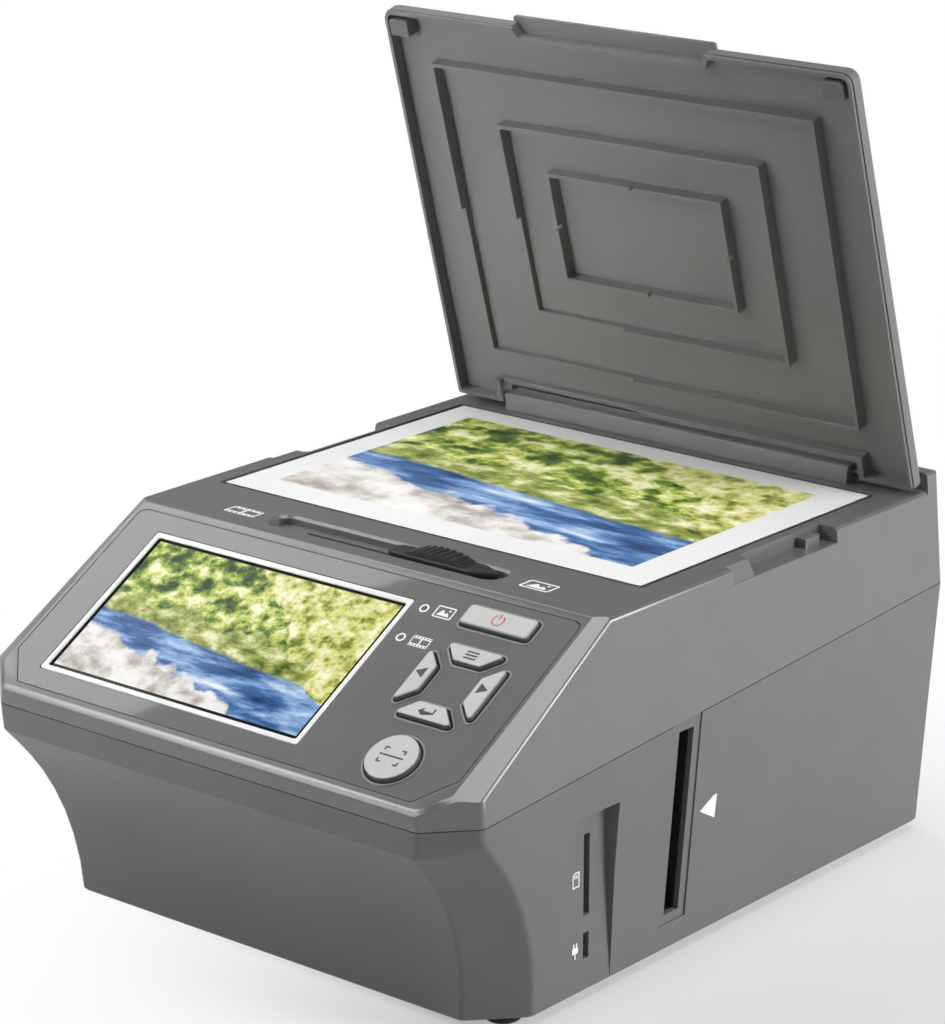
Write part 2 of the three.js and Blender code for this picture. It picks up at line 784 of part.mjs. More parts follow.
// Planes of the upper case
const panelOrigin = new THREE.Vector3(0, fromFront(panelBend), deckHeight);
const panelMatrix = new THREE.Matrix4().makeRotationX(panelAngle).setPosition(panelOrigin);
const panelNormal = new THREE.Vector3(0, -Math.sin(panelAngle), Math.cos(panelAngle));
const panelPlane = planeThrough(panelNormal, panelOrigin);
const deckPlane = planeThrough(new THREE.Vector3(0, 0, 1), new THREE.Vector3(0, 0, deckHeight));
const barPlane = planeThrough(new THREE.Vector3(0, 0, 1), new THREE.Vector3(0, 0, bodyTop));
const frontPlane = planeThrough(new THREE.Vector3(0, -1, 0), new THREE.Vector3(0, frontY, 0));
const backPlane = planeThrough(
  new THREE.Vector3(0, 1, backLean / (bodyTop - seamHeight)),
  new THREE.Vector3(0, backY, seamAt(backY)),
);
const cornerPlane = (side) => planeThrough(
  new THREE.Vector3(side * cornerDepth, -cornerWidth, 0),
  new THREE.Vector3(side * seamHalfWidth, fromFront(cornerDepth), 0),
);
const sidePlane = (side) => planeThrough(
  new THREE.Vector3(side, (-sideLean * seamRise) / bodyDepth, sideLean),
  new THREE.Vector3(side * seamHalfWidth, frontY, seamHeight),
);
const bevelPlane = (side) => {
  const normal = new THREE.Vector3(side * bevelDrop, 0, bevelRun);
  normal.applyAxisAngle(xAxis, panelAngle);
  return planeThrough(normal, new THREE.Vector3(side * bevelStart, fromFront(panelBend), deckHeight));
};
const floorPlane = planeThrough(new THREE.Vector3(0, 0, -1), new THREE.Vector3(0, 0, floorTop));
const bothSides = [-1, 1];

// The outside of the upper case, solid: the panel and the deck with their round edges, and
// the raised bar across the back.
function upperOutside() {
  const bevels = bothSides.map(bevelPlane);
  const shape = cutAll(upperSkin(0), [
    panelPlane,
    deckPlane,
    ...edgeRound(frontPlane, panelPlane, chinRound),
    ...edgeRound(panelPlane, deckPlane, bendRound),
    ...bevels,
    ...bothSides.flatMap((side) => edgeRound(cornerPlane(side), panelPlane, chinRound)),
    ...bothSides.flatMap((side) => edgeRound(sidePlane(side), deckPlane, deckEdgeRound)),
    ...bevels.flatMap((bevel, index) => edgeRound(sidePlane(bothSides[index]), bevel, noseEdge)),
  ]);
  const barFace = planeThrough(new THREE.Vector3(0, -1, 0), new THREE.Vector3(0, barFrontY, 0));
  const bar = cutAll(upperSkin(0), [
    barPlane,
    barFace,
    ...edgeRound(backPlane, barPlane, rearBarRound),
    ...bothSides.flatMap((side) => edgeRound(sidePlane(side), barPlane, rearBarRound)),
  ]);
  return shape.add(bar);
}

// Panel outlines, seen from above: X across, Y up the slope from the bend
function fasciaOutline(inset) {
  const bottom = -(fasciaTop + fasciaHeight);
  const corners = [
    new THREE.Vector2(-fasciaHalfWidth + fasciaChamferWidth, bottom),
    new THREE.Vector2(fasciaHalfWidth - fasciaChamferWidth, bottom),
    new THREE.Vector2(fasciaHalfWidth, bottom + fasciaChamferHeight),
    new THREE.Vector2(fasciaHalfWidth, -fasciaTop),
    new THREE.Vector2(-fasciaHalfWidth, -fasciaTop),
    new THREE.Vector2(-fasciaHalfWidth, bottom + fasciaChamferHeight),
  ];
  const radii = corners.map((corner) => (corner.y === -fasciaTop ? fasciaRound : baseEdge));
  const steps = corners.map(() => cornerSteps);
  return new THREE.Shape(roundedCorners(insetOutline(corners, inset), radii, steps));
}

const displayMiddle = -(displayTop + displayHeight / 2);

function displayOutline(grow) {
  return roundedRectangle(
    displayCentre,
    displayMiddle,
    displayWidth + 2 * grow,
    displayHeight + 2 * grow,
    baseEdge,
  );
}

// One of the four wedge-shaped keys that stand round the middle of the key ring.
function wedgeKeyOutline(quarter, grow) {
  const corners = [
    new THREE.Vector2(-keyInnerHalf, keyInner),
    new THREE.Vector2(keyInnerHalf, keyInner),
    new THREE.Vector2(keyOuterHalf, keyOuter),
    new THREE.Vector2(-keyOuterHalf, keyOuter),
  ];
  const grown = insetOutline(corners, -grow);
  const ringCentre = new THREE.Vector2(keyRingAcross, -keyRingDown);
  const turn = (quarter * Math.PI) / 2;
  const placed = grown.map((corner) => corner.add(ringCentre).rotateAround(ringCentre, turn));
  const all = (value) => placed.map(() => value);
  return new THREE.Shape(roundedCorners(placed, all(keyRound + grow), all(cornerSteps)));
}

function powerOutline(grow) {
  return roundedRectangle(
    powerAcross,
    -powerDown,
    powerWidth + 2 * grow,
    powerHeight + 2 * grow,
    powerRound + grow,
  );
}

function roundOutline(x, y, radius) {
  const shape = new THREE.Shape();
  shape.absarc(x, y, radius, 0, 2 * Math.PI);
  return shape;
}

const keyRingCentre = [keyRingAcross, -keyRingDown];
const keyMiddle = (keyInner + keyOuter) / 2;
const buttons = [
  { name: "power_button", outline: powerOutline, centre: [powerAcross, -powerDown] },
  ...["menu_key", "left_key", "enter_key", "right_key"].map((name, quarter) => ({
    name,
    outline: (grow) => wedgeKeyOutline(quarter, grow),
    centre: [
      keyRingCentre[0] - keyMiddle * Math.sin((quarter * Math.PI) / 2),
      keyRingCentre[1] + keyMiddle * Math.cos((quarter * Math.PI) / 2),
    ],
  })),
  {
    name: "scan_button",
    outline: (grow) => roundOutline(scanAcross, -scanDown, scanRadius + grow),
    centre: [scanAcross, -scanDown],
  },
];
const indicators = [
  { name: "photo_indicator", down: photoIndicatorDown },
  { name: "film_indicator", down: filmIndicatorDown },
];
const flangeTop = -(panelWall + seatGap);
const flangeBottom = flangeTop - flangeThickness;
const switchTop = flangeBottom - buttonTravel - seatGap;
const keyBoardTop = switchTop - switchHeight;

// The part of the upper case's mould that stands under the glass, the slider and the notches
function upperBacking(outside) {
  const bedTray = centredBlock(
    bedCentre,
    bedMiddleY,
    bedWidth + 2 * bedWall,
    bedDepth + 2 * bedWall,
    bedBottom - bedLedgeThickness,
    deckHeight - sink,
  );
  const slider = centredBlock(
    0,
    fromFront(sliderBack),
    trackLength + 2 * slotMargin,
    slotWidth + 2 * slotMargin,
    deckHeight - slotThickening,
    deckHeight - sink,
  );
  const notches = bothSides.map((side) => {
    const outer = side * (seamHalfWidth + overrun);
    const inner = side * (deckHalfWidth - notchReach - notchBacking);
    return block(
      [Math.min(outer, inner), fromFront(notchFront - notchBacking), deckHeight - notchDepth - notchBacking],
      [Math.max(outer, inner), fromFront(notchFront + notchLength + notchBacking), deckHeight - sink],
    ).intersect(outside);
  });
  return join([bedTray, slider, ...notches]);
}

// A finger notch in the deck's edge: a long chamfer, and a deep pocket with a step at its back.
function fingerNotch(side) {
  const edge = deckHalfWidth;
  const outer = edge + notchReach;
  const chamfer = outlineShape([
    [side * (edge - notchChamfer), deckHeight + overrun],
    [side * (edge - notchChamfer), deckHeight],
    [side * (edge + baseEdge), deckHeight - notchDepth],
    [side * outer, deckHeight - notchDepth],
    [side * outer, deckHeight + overrun],
  ]);
  const turn = new THREE.Matrix4().makeBasis(xAxis, zAxis, yAxis.clone().negate());
  const long = prism(chamfer, -fromFront(notchFront + notchLength), -fromFront(notchFront), turn);
  const deepLength = notchFront + notchLength - notchDeepFront;
  const pocketMiddle = fromFront(notchDeepFront + deepLength / 2);
  const pocket = prism(
    roundedRectangle(side * edge, pocketMiddle, 2 * notchReach, deepLength, notchRound),
    deckHeight - notchDepth,
    deckHeight + overrun,
  );
  const stepBack = fromFront(notchFront + notchLength - notchStepMargin);
  const step = prism(
    roundedRectangle(
      side * (edge - notchReach + (notchStepWidth - overrun) / 2),
      stepBack - notchStepLength / 2,
      notchStepWidth + overrun,
      notchStepLength,
      notchRound / 2,
    ),
    deckHeight - notchDepth - overrun,
    deckHeight - notchStepDrop,
  );
  return long.add(pocket).subtract(step);
}

// The slot that the slider runs in: a shallow track with a bevelled rim, and the opening
// for the stem.
function sliderCuts() {
  const y = fromFront(sliderBack);
  const half = trackLength / 2;
  const corners = [
    new THREE.Vector2(-half, y - slotWidth / 2),
    new THREE.Vector2(half, y - slotWidth / 2),
    new THREE.Vector2(half, y + slotWidth / 2),
    new THREE.Vector2(-half, y + slotWidth / 2),
  ];
  const trackRound = slotWidth / 2 - baseEdge;
  const ring = (grow, height) => roundedCorners(
    insetOutline(corners, -grow),
    corners.map(() => trackRound + grow),
    corners.map(() => rearCornerSteps),
  ).map((point) => new THREE.Vector3(point.x, point.y, height));
  const track = loft([
    ring(0, deckHeight - slotDepth),
    ring(0, deckHeight - slotBevel),
    ring(slotBevel, deckHeight),
    ring(slotBevel, deckHeight + overrun),
  ]);
  const opening = centredBlock(
    0,
    y,
    modeTravel + stemLength + 2 * slideGap,
    stemWidth + 2 * slideGap,
    deckHeight - slotThickening - overrun,
    deckHeight,
  );
  return [track, opening];
}

function panelCuts() {
  const through = (shape) => prism(shape, -(panelWall + overrun), overrun, panelMatrix);
  const pocket = prism(fasciaOutline(-seatGap), -(fasciaThickness + seatGap), overrun, panelMatrix);
  const window = through(displayOutline(seatGap - displayOverlap));
  const holes = buttons.map(({ outline }) => through(outline(keyGap)));
  const lights = indicators.map(({ down }) =>
    through(roundOutline(indicatorAcross, -down, indicatorRadius + seatGap)));
  return [pocket, window, ...holes, ...lights];
}

const posts = [
  { name: "front_left", x: -frontPostAcross, y: fromFront(frontPostBack) },
  { name: "front_right", x: frontPostAcross, y: fromFront(frontPostBack) },
  { name: "rear_left", x: -rearPostAcross, y: fromFront(rearPostBack) },
  { name: "rear_right", x: rearPostAcross, y: fromFront(rearPostBack) },
];

// The upper case
function upperHousing() {
  const outside = upperOutside();
  const inside = cutAll(upperSkin(wall, wall + overrun), [
    moveInwards(panelPlane, panelWall),
    moveInwards(deckPlane, wall),
  ]);
  const rebate = seamBand(lipInset - seatGap, -overrun, lipHeight + seatGap)
    .subtract(seamBand(wall + overrun, -reach / 2, reach / 2));
  const ribTop = bedBottom - bedLedgeThickness + sink;
  const ribBottom = ribTop - sink - lightRibHeight;
  const lightRibs = bothSides.map((side) => centredBlock(
    bedCentre + side * (bedWidth / 2 - bedLedge + lightRibThickness / 2),
    bedMiddleY,
    lightRibThickness,
    lightStripLength + 2 * bedWall,
    ribBottom,
    ribTop,
  ));
  const columns = posts.map(({ x, y }) =>
    roundBar(postRadius, postTop + seatGap, deckHeight - sink, x, y));
  const pilots = posts.map(({ x, y }) => roundBar(
    screwRadius + screwGap,
    postTop,
    postTop + pilotDepth,
    x,
    y,
  ));
  const bedCut = centredBlock(bedCentre, bedMiddleY, bedWidth, bedDepth, bedBottom, deckHeight + overrun);
  const lightWell = centredBlock(
    bedCentre,
    bedMiddleY,
    bedWidth - 2 * bedLedge,
    bedDepth - 2 * bedLedge,
    bedBottom - bedLedgeThickness - overrun,
    deckHeight,
  );
  const shell = join([outside.subtract(inside), upperBacking(outside), ...lightRibs, ...columns]);
  return cut(shell, [
    rebate,
    bedCut,
    lightWell,
    ...bothSides.map(fingerNotch),
    ...sliderCuts(),
    ...panelCuts(),
    ...pilots,
  ]);
}

// The wedge-shaped pocket round the card and USB sockets: its face stands upright while the
// side leans in, so that it runs out at the base.
function portPocket() {
  const outer = seamHalfWidth + overrun;
  const flare = (outer - pocketFace) / (seamHalfWidth - pocketFace);
  const ring = (height, backAtFace, backAtRim) => [
    new THREE.Vector3(pocketFace, fromFront(pocketFront), height),
    new THREE.Vector3(outer, fromFront(pocketFront), height),
    new THREE.Vector3(outer, fromFront(backAtFace + (backAtRim - backAtFace) * flare), height),
    new THREE.Vector3(pocketFace, fromFront(backAtFace), height),
  ];
  return loft([
    ring(footHeight - overrun, pocketBackAtBase, pocketBackAtBase),
    ring(pocketTop, pocketBack, pocketRim),
  ]);
}

// The opening of the film passage in both sides, with its shallow frame.
function filmCuts() {
  const slot = block(
    [-seamHalfWidth - overrun, fromFront(filmSlotFront), filmSlotBottom],
    [seamHalfWidth + overrun, fromFront(filmSlotFront + filmSlotWidth), filmSlotBottom + filmSlotHeight],
  );
  const frames = bothSides.map((side) => {
    const ring = (height) => {
      const level = (height - footHeight) / (seamAt(filmCentreY) - footHeight);
      const half = baseHalfWidth + level * (seamHalfWidth - baseHalfWidth) - filmFrameDepth;
      const near = side * half;
      const far = side * (half + filmFrameDepth + overrun);
      const low = fromFront(filmSlotFront - filmFrameMargin);
      const high = fromFront(filmSlotFront + filmSlotWidth + filmFrameMargin);
      const left = Math.min(near, far);
      const right = Math.max(near, far);
      return [[left, low], [right, low], [right, high], [left, high]].map(
        ([x, y]) => new THREE.Vector3(x, y, height),
      );
    };
    const top = seamAt(filmCentreY) + seamRise;
    return loft([ring(filmSlotBottom - filmFrameMargin), ring(top)]);
  });
  return [slot, ...frames];
}

const feet = [
  { name: "foot_front_left", x: -frontFootAcross, y: fromFront(frontFootBack) },
  { name: "foot_front_right", x: frontFootAcross, y: fromFront(frontFootBack) },
  { name: "foot_rear_left", x: -rearFootAcross, y: fromFront(rearFootBack) },
  { name: "foot_rear_right", x: rearFootAcross, y: fromFront(rearFootBack) },
];
const mainBoardFront = fromFront(cardSlotBack) + cardSlotWidth / 2 + socketWall + seatGap;
const mainBoardRight = pocketFace - wall - seatGap;
const rods = [
  { name: "front_guide_rod", y: fromFront(frontRodBack) },
  { name: "rear_guide_rod", y: fromFront(rearRodBack) },
];
const rodHalfLength = baseHalfWidth - wall - rodEndMargin;

// The lower case
function lowerHousing() {
  const outside = lowerOutside();
  const inside = lowerInside(wall);
  const pocketBacking = block(
    [pocketFace - wall, fromFront(pocketFront) - wall, footHeight],
    [seamHalfWidth + overrun, fromFront(pocketBackAtBase) + wall, pocketTop + wall],
  ).intersect(outside);
  const lip = seamBand(lipInset, -wall, lipHeight).subtract(inside);
  const bosses = posts.map(({ x, y }) => roundBar(postRadius, footHeight + baseEdge, postTop, x, y));
  const bores = posts.map(({ x, y }) =>
    roundBar(postBore, footHeight - overrun, postTop - postShoulder, x, y));
  const holes = posts.map(({ x, y }) =>
    roundBar(screwRadius + screwGap, footHeight, postTop + overrun, x, y));
  const cradles = rods.flatMap(({ y }) => bothSides.map((side) => centredBlock(
    side * (rodHalfLength - cradleLength / 2),
    y,
    cradleLength,
    cradleWidth,
    footHeight + baseEdge,
    rodHeight + rodRadius + wall,
  )));
  const cradleBores = rods.map(({ y }) =>
    crossBar(rodRadius + slideGap, -rodHalfLength - overrun, rodHalfLength + overrun, y, rodHeight));
  const filmFeet = bothSides.map((side) => centredBlock(
    side * filmFootAcross,
    filmCentreY,
    filmFootThickness,
    filmSlotWidth + 2 * filmWall,
    footHeight + baseEdge,
    filmSlotBottom - filmWall - seatGap,
  ));
  const guideAt = [mainBoardRight - mainBoardLength + boardGuideWidth, mainBoardRight - boardGuideWidth];
  const guides = guideAt.flatMap((x) => bothSides.map((side) => {
    const middle = mainBoardFront + boardThickness / 2;
    const offset = side * (boardThickness / 2 + seatGap + filmFootThickness / 2);
    return centredBlock(
      x,
      middle + offset,
      boardGuideWidth,
      filmFootThickness,
      footHeight + baseEdge,
      floorTop + boardGuideHeight,
    );
  }));
  const cardSlot = block(
    [pocketFace - wall - overrun, fromFront(cardSlotBack) - cardSlotWidth / 2, cardSlotBottom],
    [seamHalfWidth, fromFront(cardSlotBack) + cardSlotWidth / 2, cardSlotBottom + cardSlotHeight],
  );
  const usbSlot = block(
    [pocketFace - wall - overrun, fromFront(usbSlotBack) - usbSlotWidth / 2, usbSlotBottom],
    [seamHalfWidth, fromFront(usbSlotBack) + usbSlotWidth / 2, usbSlotBottom + usbSlotHeight],
  );
  const shell = join([
    outside.subtract(inside),
    pocketBacking,
    lip,
    ...bosses,
    ...cradles,
    ...filmFeet,
    ...guides,
  ]);
  return cut(shell, [
    portPocket(),
    cardSlot,
    usbSlot,
    ...filmCuts(),
    ...bores,
    ...holes,
    ...cradleBores,
  ]);
}

// The thin octagonal plate round the display and the buttons
function fascia() {
  const shape = fasciaOutline(0);
  shape.holes = [
    new THREE.Path(displayOutline(seatGap).getPoints()),
    ...buttons.map(({ outline }) => new THREE.Path(outline(keyGap).getPoints(roundSides / 2))),
    ...indicators.map(({ down }) => new THREE.Path(
      roundOutline(indicatorAcross, -down, indicatorRadius + seatGap).getPoints(roundSides / 4),
    )),
  ];
  return prism(shape, -fasciaThickness, 0);
}

function displayFrame() {
  const shape = displayOutline(0);
  shape.holes = [new THREE.Path(displayOutline(-displayBorder).getPoints())];
  return prism(shape, -displayFrameThickness, 0);
}

function displayPanel() {
  const top = -(displayFrameThickness + seatGap);
  return prism(displayOutline(-displayOverlap), top - displayThickness, top);
}

// A button: a cap with a rounded rim, and a flange under the case that holds it in
function button(outline) {
  const cap = bevelledPlate(outline(0), -fasciaThickness, buttonRise, buttonBevel);
  const shank = prism(outline(0), flangeBottom, buttonRise - 2 * buttonBevel);
  const flange = prism(outline(buttonFlange), flangeBottom, flangeTop);
  return join([cap, shank, flange]);
}

// A light pipe from the key board to the face of the fascia, with a domed end
function lightPipe(down) {
  const bottom = keyBoardTop + seatGap;
  const dome = [1, 2, 3].map((step) => {
    const angle = (step / 3) * (Math.PI / 2);
    return [indicatorRadius * Math.cos(angle), indicatorRise * Math.sin(angle)];
  });
  dome[dome.length - 1][0] = 0;
  const profile = [[0, bottom], [indicatorRadius, bottom], [indicatorRadius, 0], ...dome];
  const pipe = turned(profile);
  return pipe.translate([indicatorAcross, -down, 0]);
}

// The key board with one switch under each button
function keyBoard() {
  const board = centredBlock(
    keyBoardAcross,
    -keyBoardDown,
    keyBoardWidth,
    keyBoardHeight,
    keyBoardTop - boardThickness,
    keyBoardTop,
  );
  const switches = buttons.flatMap(({ centre: [x, y] }) => [
    centredBlock(x, y, switchSize, switchSize, keyBoardTop - seatGap, switchTop - switchHeight / 3),
    roundBar(switchSize / 4, keyBoardTop - seatGap, switchTop, x, y),
  ]);
  return join([board, ...switches]);
}

// The pads that the key board is screwed to, under the panel
function keyBoardPads() {
  const padRadius = postRadius / 2;
  return bothSides.flatMap((across) => bothSides.map((along) => roundBar(
    padRadius,
    keyBoardTop + seatGap,
    sink - panelWall,
    keyBoardAcross + across * (keyBoardWidth / 2 - padRadius),
    -keyBoardDown + along * (keyBoardHeight / 2 - padRadius),
  ).transform(panelMatrix.elements)));
}

// The flat cable from the key board to the main board
function keyRibbon() {
  const startDown = keyBoardDown + keyBoardHeight / 4;
  const startLevel = keyBoardTop - boardThickness - seatGap - ribbonThickness / 2;
  const start = new THREE.Vector3(0, -startDown, startLevel);
  start.applyMatrix4(panelMatrix);
  const startPoint = new THREE.Vector2(start.y, start.z);
  const boardMiddle = mainBoardFront + boardThickness / 2;
  const end = new THREE.Vector2(boardMiddle, floorTop + mainBoardHeight + seatGap);
  const out = new THREE.Vector2(Math.sin(panelAngle), -Math.cos(panelAngle)).multiplyScalar(ribbonBow);
  const curve = new THREE.CubicBezierCurve(
    startPoint,
    startPoint.clone().add(out),
    end.clone().add(new THREE.Vector2(0, ribbonBow)),
    end,
  );
  const points = curve.getPoints(ribbonSteps);
  const sideways = points.map((_, index) => {
    const tangent = curve.getTangent(index / ribbonSteps);
    return new THREE.Vector2(-tangent.y, tangent.x).multiplyScalar(ribbonThickness / 2);
  });
  const left = points.map((point, index) => point.clone().add(sideways[index]));
  const right = points.map((point, index) => point.clone().sub(sideways[index])).reverse();
  const from = ribbonAcross - ribbonWidth / 2;
  return prism(new THREE.Shape([...left, ...right]), from, from + ribbonWidth, alongX);
}

// The slider's knob: a boat-shaped foot and a ribbed hump for the thumb
function modeKnob() {
  const y = fromFront(sliderBack);
  const half = knobLength / 2;
  const corners = [
    [-half, -knobWidth / 2 + baseEdge],
    [-half + knobTip / 3, -knobWidth / 2],
    [half - knobTip, -knobWidth / 2],
    [half, 0],
    [half - knobTip, knobWidth / 2],
    [-half + knobTip / 3, knobWidth / 2],
    [-half, knobWidth / 2 - baseEdge],
  ].map(([x, across]) => new THREE.Vector2(knobCentre + x, y + across));
  const radii = corners.map(() => baseEdge);
  radii[2] = knobTip / 2;
  radii[4] = knobTip / 2;
  const shape = new THREE.Shape(roundedCorners(corners, radii, corners.map(() => cornerSteps)));
  const bottom = deckHeight - slotDepth + seatGap;
  const foot = bevelledPlate(shape, bottom, bottom + knobBase, buttonBevel / 2);
  const humpCentre = knobCentre + knobHumpOffset;
  const humpBase = bottom + knobBase / 2;
  const rise = deckHeight + knobHumpRise - humpBase;
  const steps = ribSteps * knobRibs;
  const crest = Array.from({ length: steps + 1 }, (_, step) => {
    const along = step / steps - 0.5;
    const rib = step % ribSteps < ribSteps / 2 ? 0 : -knobRibDepth;
    const height = humpBase + rise * Math.sqrt(1 - 4 * along * along) + rib * Math.cos(Math.PI * along);
    return new THREE.Vector2(humpCentre + along * knobHumpLength, Math.max(height, humpBase));
  });
  const turn = new THREE.Matrix4().makeBasis(xAxis, zAxis, yAxis.clone().negate());
  const hump = prism(new THREE.Shape(crest.reverse()), -y - knobHumpWidth / 2, -y + knobHumpWidth / 2, turn);
  return foot.add(hump);
}

// Mirror, in its own group on the carriage: the plane that folds the camera's view upwards
const mirrorAngle = Math.PI / 4;

// The carriage: a plate on four bushings, with the mirror's bed, the holder of the close-up
// lens and the arm that reaches over the film passage to the slider
function modeCarriage() {
  const plateBottom = rodHeight + bushingRadius - baseEdge;
  const plateTop = plateBottom + carriagePlate;
  const left = -mirrorWidth / 2 - carriageMargin;
  const right = modeTravel + closeupRadius + lensHolderMargin + carriageMargin;
  const front = fromFront(carriageFront);
  const back = fromFront(rearRodBack) + bushingRadius;
  const plate = block([left, front, plateBottom], [right, back, plateTop]);
  const windowFront = fromFront(frontRodBack) + bushingRadius + carriageMargin / 2;
  const windowBack = fromFront(rearRodBack) - bushingRadius - carriageMargin / 2;
  const windows = [
    block(
      [-mirrorWidth / 2 + carriageMargin, windowFront, plateBottom - overrun],
      [mirrorWidth / 2 - carriageMargin, windowBack, plateTop + overrun],
    ),
    block(
      [modeTravel - carriageWindow, windowFront, plateBottom - overrun],
      [modeTravel + carriageWindow, windowBack - carriageMargin, plateTop + overrun],
    ),
  ];
  const bushings = rods.flatMap(({ y }) => [left, right - bushingLength].map((x) =>
    crossBar(bushingRadius, x, x + bushingLength, y, rodHeight)));
  const bores = rods.map(({ y }) =>
    crossBar(rodRadius + slideGap, left - overrun, right + overrun, y, rodHeight));

  const middleY = fromFront(mirrorBack);
  const slant = (along, below) => [
    middleY + along * Math.cos(mirrorAngle) - below * Math.sin(mirrorAngle),
    opticalHeight - along * Math.sin(mirrorAngle) - below * Math.cos(mirrorAngle),
  ];
  const bedTop = mirrorThickness + seatGap;
  const bedShape = outlineShape([
    slant(-mirrorLength / 2, bedTop),
    slant(-mirrorLength / 2, bedTop + cheekThickness),
    slant(mirrorLength / 2, bedTop + cheekThickness),
    slant(mirrorLength / 2, bedTop),
  ]);
  const bed = prism(bedShape, -mirrorWidth / 2 - cheekThickness, mirrorWidth / 2 + cheekThickness, alongX);
  const [topY, topZ] = slant(-mirrorLength / 2, bedTop + cheekThickness / 2);
  const footY = middleY + (opticalHeight - plateTop) - Math.SQRT2 * (bedTop + cheekThickness / 2);
  const cheekShape = outlineShape([
    [topY, topZ],
    [topY, plateTop - baseEdge],
    [footY, plateTop - baseEdge],
  ]);
  const cheeks = bothSides.map((side) => {
    const inner = side * (mirrorWidth / 2 + cheekThickness / 2);
    return prism(cheekShape, inner - cheekThickness / 2, inner + cheekThickness / 2, alongX);
  });
  const belowPlate = block(
    [left - overrun, front - overrun, footHeight - overrun],
    [right + overrun, back + overrun, plateBottom],
  );

  const holderY = fromFront(closeupBack);
  const holderHalf = closeupRadius + lensHolderMargin;
  const holder = block(
    [modeTravel - holderHalf, holderY - lensHolderThickness / 2, plateTop - baseEdge],
    [modeTravel + holderHalf, holderY + lensHolderThickness / 2, opticalHeight + holderHalf],
  );
  const holderBore = solid(
    new THREE.CylinderGeometry(
      closeupRadius + seatGap,
      closeupRadius + seatGap,
      lensHolderThickness + 2 * overrun,
      roundSides,
    ).translate(modeTravel, holderY, opticalHeight),
  );

  const armBottom = filmSlotTop + filmWall + armRise;
  const legFront = fromFront(armLegBack);
  const armRight = armLeft + armWidth;
  const armTop = armBottom + armThickness;
  const leg = block([armLeft, legFront, plateBottom], [armRight, legFront + armThickness, armTop]);
  const tab = block([armLeft, legFront, plateBottom], [armRight, front + overrun, plateTop]);
  const stemY = fromFront(sliderBack);
  const arm = block(
    [armLeft, stemY - stemWidth / 2, armBottom],
    [armRight, legFront + armThickness, armTop],
  );
  const stem = block(
    [knobCentre - stemLength / 2, stemY - stemWidth / 2, armBottom],
    [knobCentre + stemLength / 2, stemY + stemWidth / 2, deckHeight - slotDepth],
  );
  const body = join([
    cut(plate, windows),
    ...bushings,
    bed.subtract(belowPlate),
    ...cheeks,
    holder,
    leg,
    tab,
    arm,
    stem,
  ]);
  return cut(body, [...bores, holderBore]);
}

function foldMirror() {
  return centredBlock(0, 0, mirrorWidth, mirrorLength, -mirrorThickness, 0);
}

// A close-up lens: convex in front, flat at the back
function closeupLens() {
  const crown = Array.from({ length: crownSteps }, (_, index) => {
    const angle = ((crownSteps - index) / (crownSteps + 1)) * (Math.PI / 2);
    return [closeupRadius * Math.sin(angle), closeupThickness + closeupCrown * Math.cos(angle)];
  });
  return turned([
    [0, 0],
    [closeupRadius, 0],
    [closeupRadius, closeupThickness],
    ...crown,
    [0, closeupThickness + closeupCrown],
  ]);
}

// The camera's lens barrel, with a stepped nose and a glass set back in it
function cameraLens() {
  const shoulder = barrelLength - barrelNoseLength;
  return turned([
    [0, 0],
    [barrelRadius, 0],
    [barrelRadius, shoulder - baseEdge],
    [barrelRadius - baseEdge, shoulder],
    [barrelNoseRadius, shoulder],
    [barrelNoseRadius, barrelLength - baseEdge],
    [barrelNoseRadius - baseEdge, barrelLength],
    [lensOpeningRadius, barrelLength],
    [lensOpeningRadius - baseEdge, barrelLength - lensRecess],
    [0, barrelLength - lensRecess + baseEdge],
  ]);
}

function cameraBracket() {
  const y = fromFront(bracketBack);
  const plate = block(
    [-bracketWidth / 2, y, floorTop],
    [bracketWidth / 2, y + bracketThickness, bracketTop],
  );
  const foot = block(
    [-bracketWidth / 2, y - bracketFoot, floorTop],
    [bracketWidth / 2, y + bracketThickness, floorTop + bracketThickness],
  );
  const gusset = outlineShape([
    [y + bracketThickness / 2, floorTop + bracketThickness + 2 * bracketFoot],
    [y - bracketFoot, floorTop + bracketThickness / 2],
    [y + bracketThickness / 2, floorTop + bracketThickness / 2],
  ]);
  const gussets = bothSides.map((side) => {
    const x = side * (bracketWidth / 2 - bracketThickness / 2);
    return prism(gusset, x - bracketThickness / 2, x + bracketThickness / 2, alongX);
  });
  const bore = solid(
    new THREE.CylinderGeometry(
      lensOpeningRadius,
      lensOpeningRadius,
      bracketThickness + 2 * overrun,
      smallSides,
    ).translate(0, y + bracketThickness / 2, opticalHeight),
  );
  return cut(join([plate, foot, ...gussets]), [bore]);
}

function cameraBoard() {
  const y = fromFront(bracketBack) + bracketThickness;
  const half = cameraBoardWidth / 2;
  const board = block([-half, y, opticalHeight - half], [half, y + boardThickness, opticalHeight + half]);
  const plug = block(
    [-switchSize, y + boardThickness / 2, opticalHeight - half],
    [switchSize, y + boardThickness + plugHeight, opticalHeight - half + switchSize],
  );
  return board.add(plug);
}

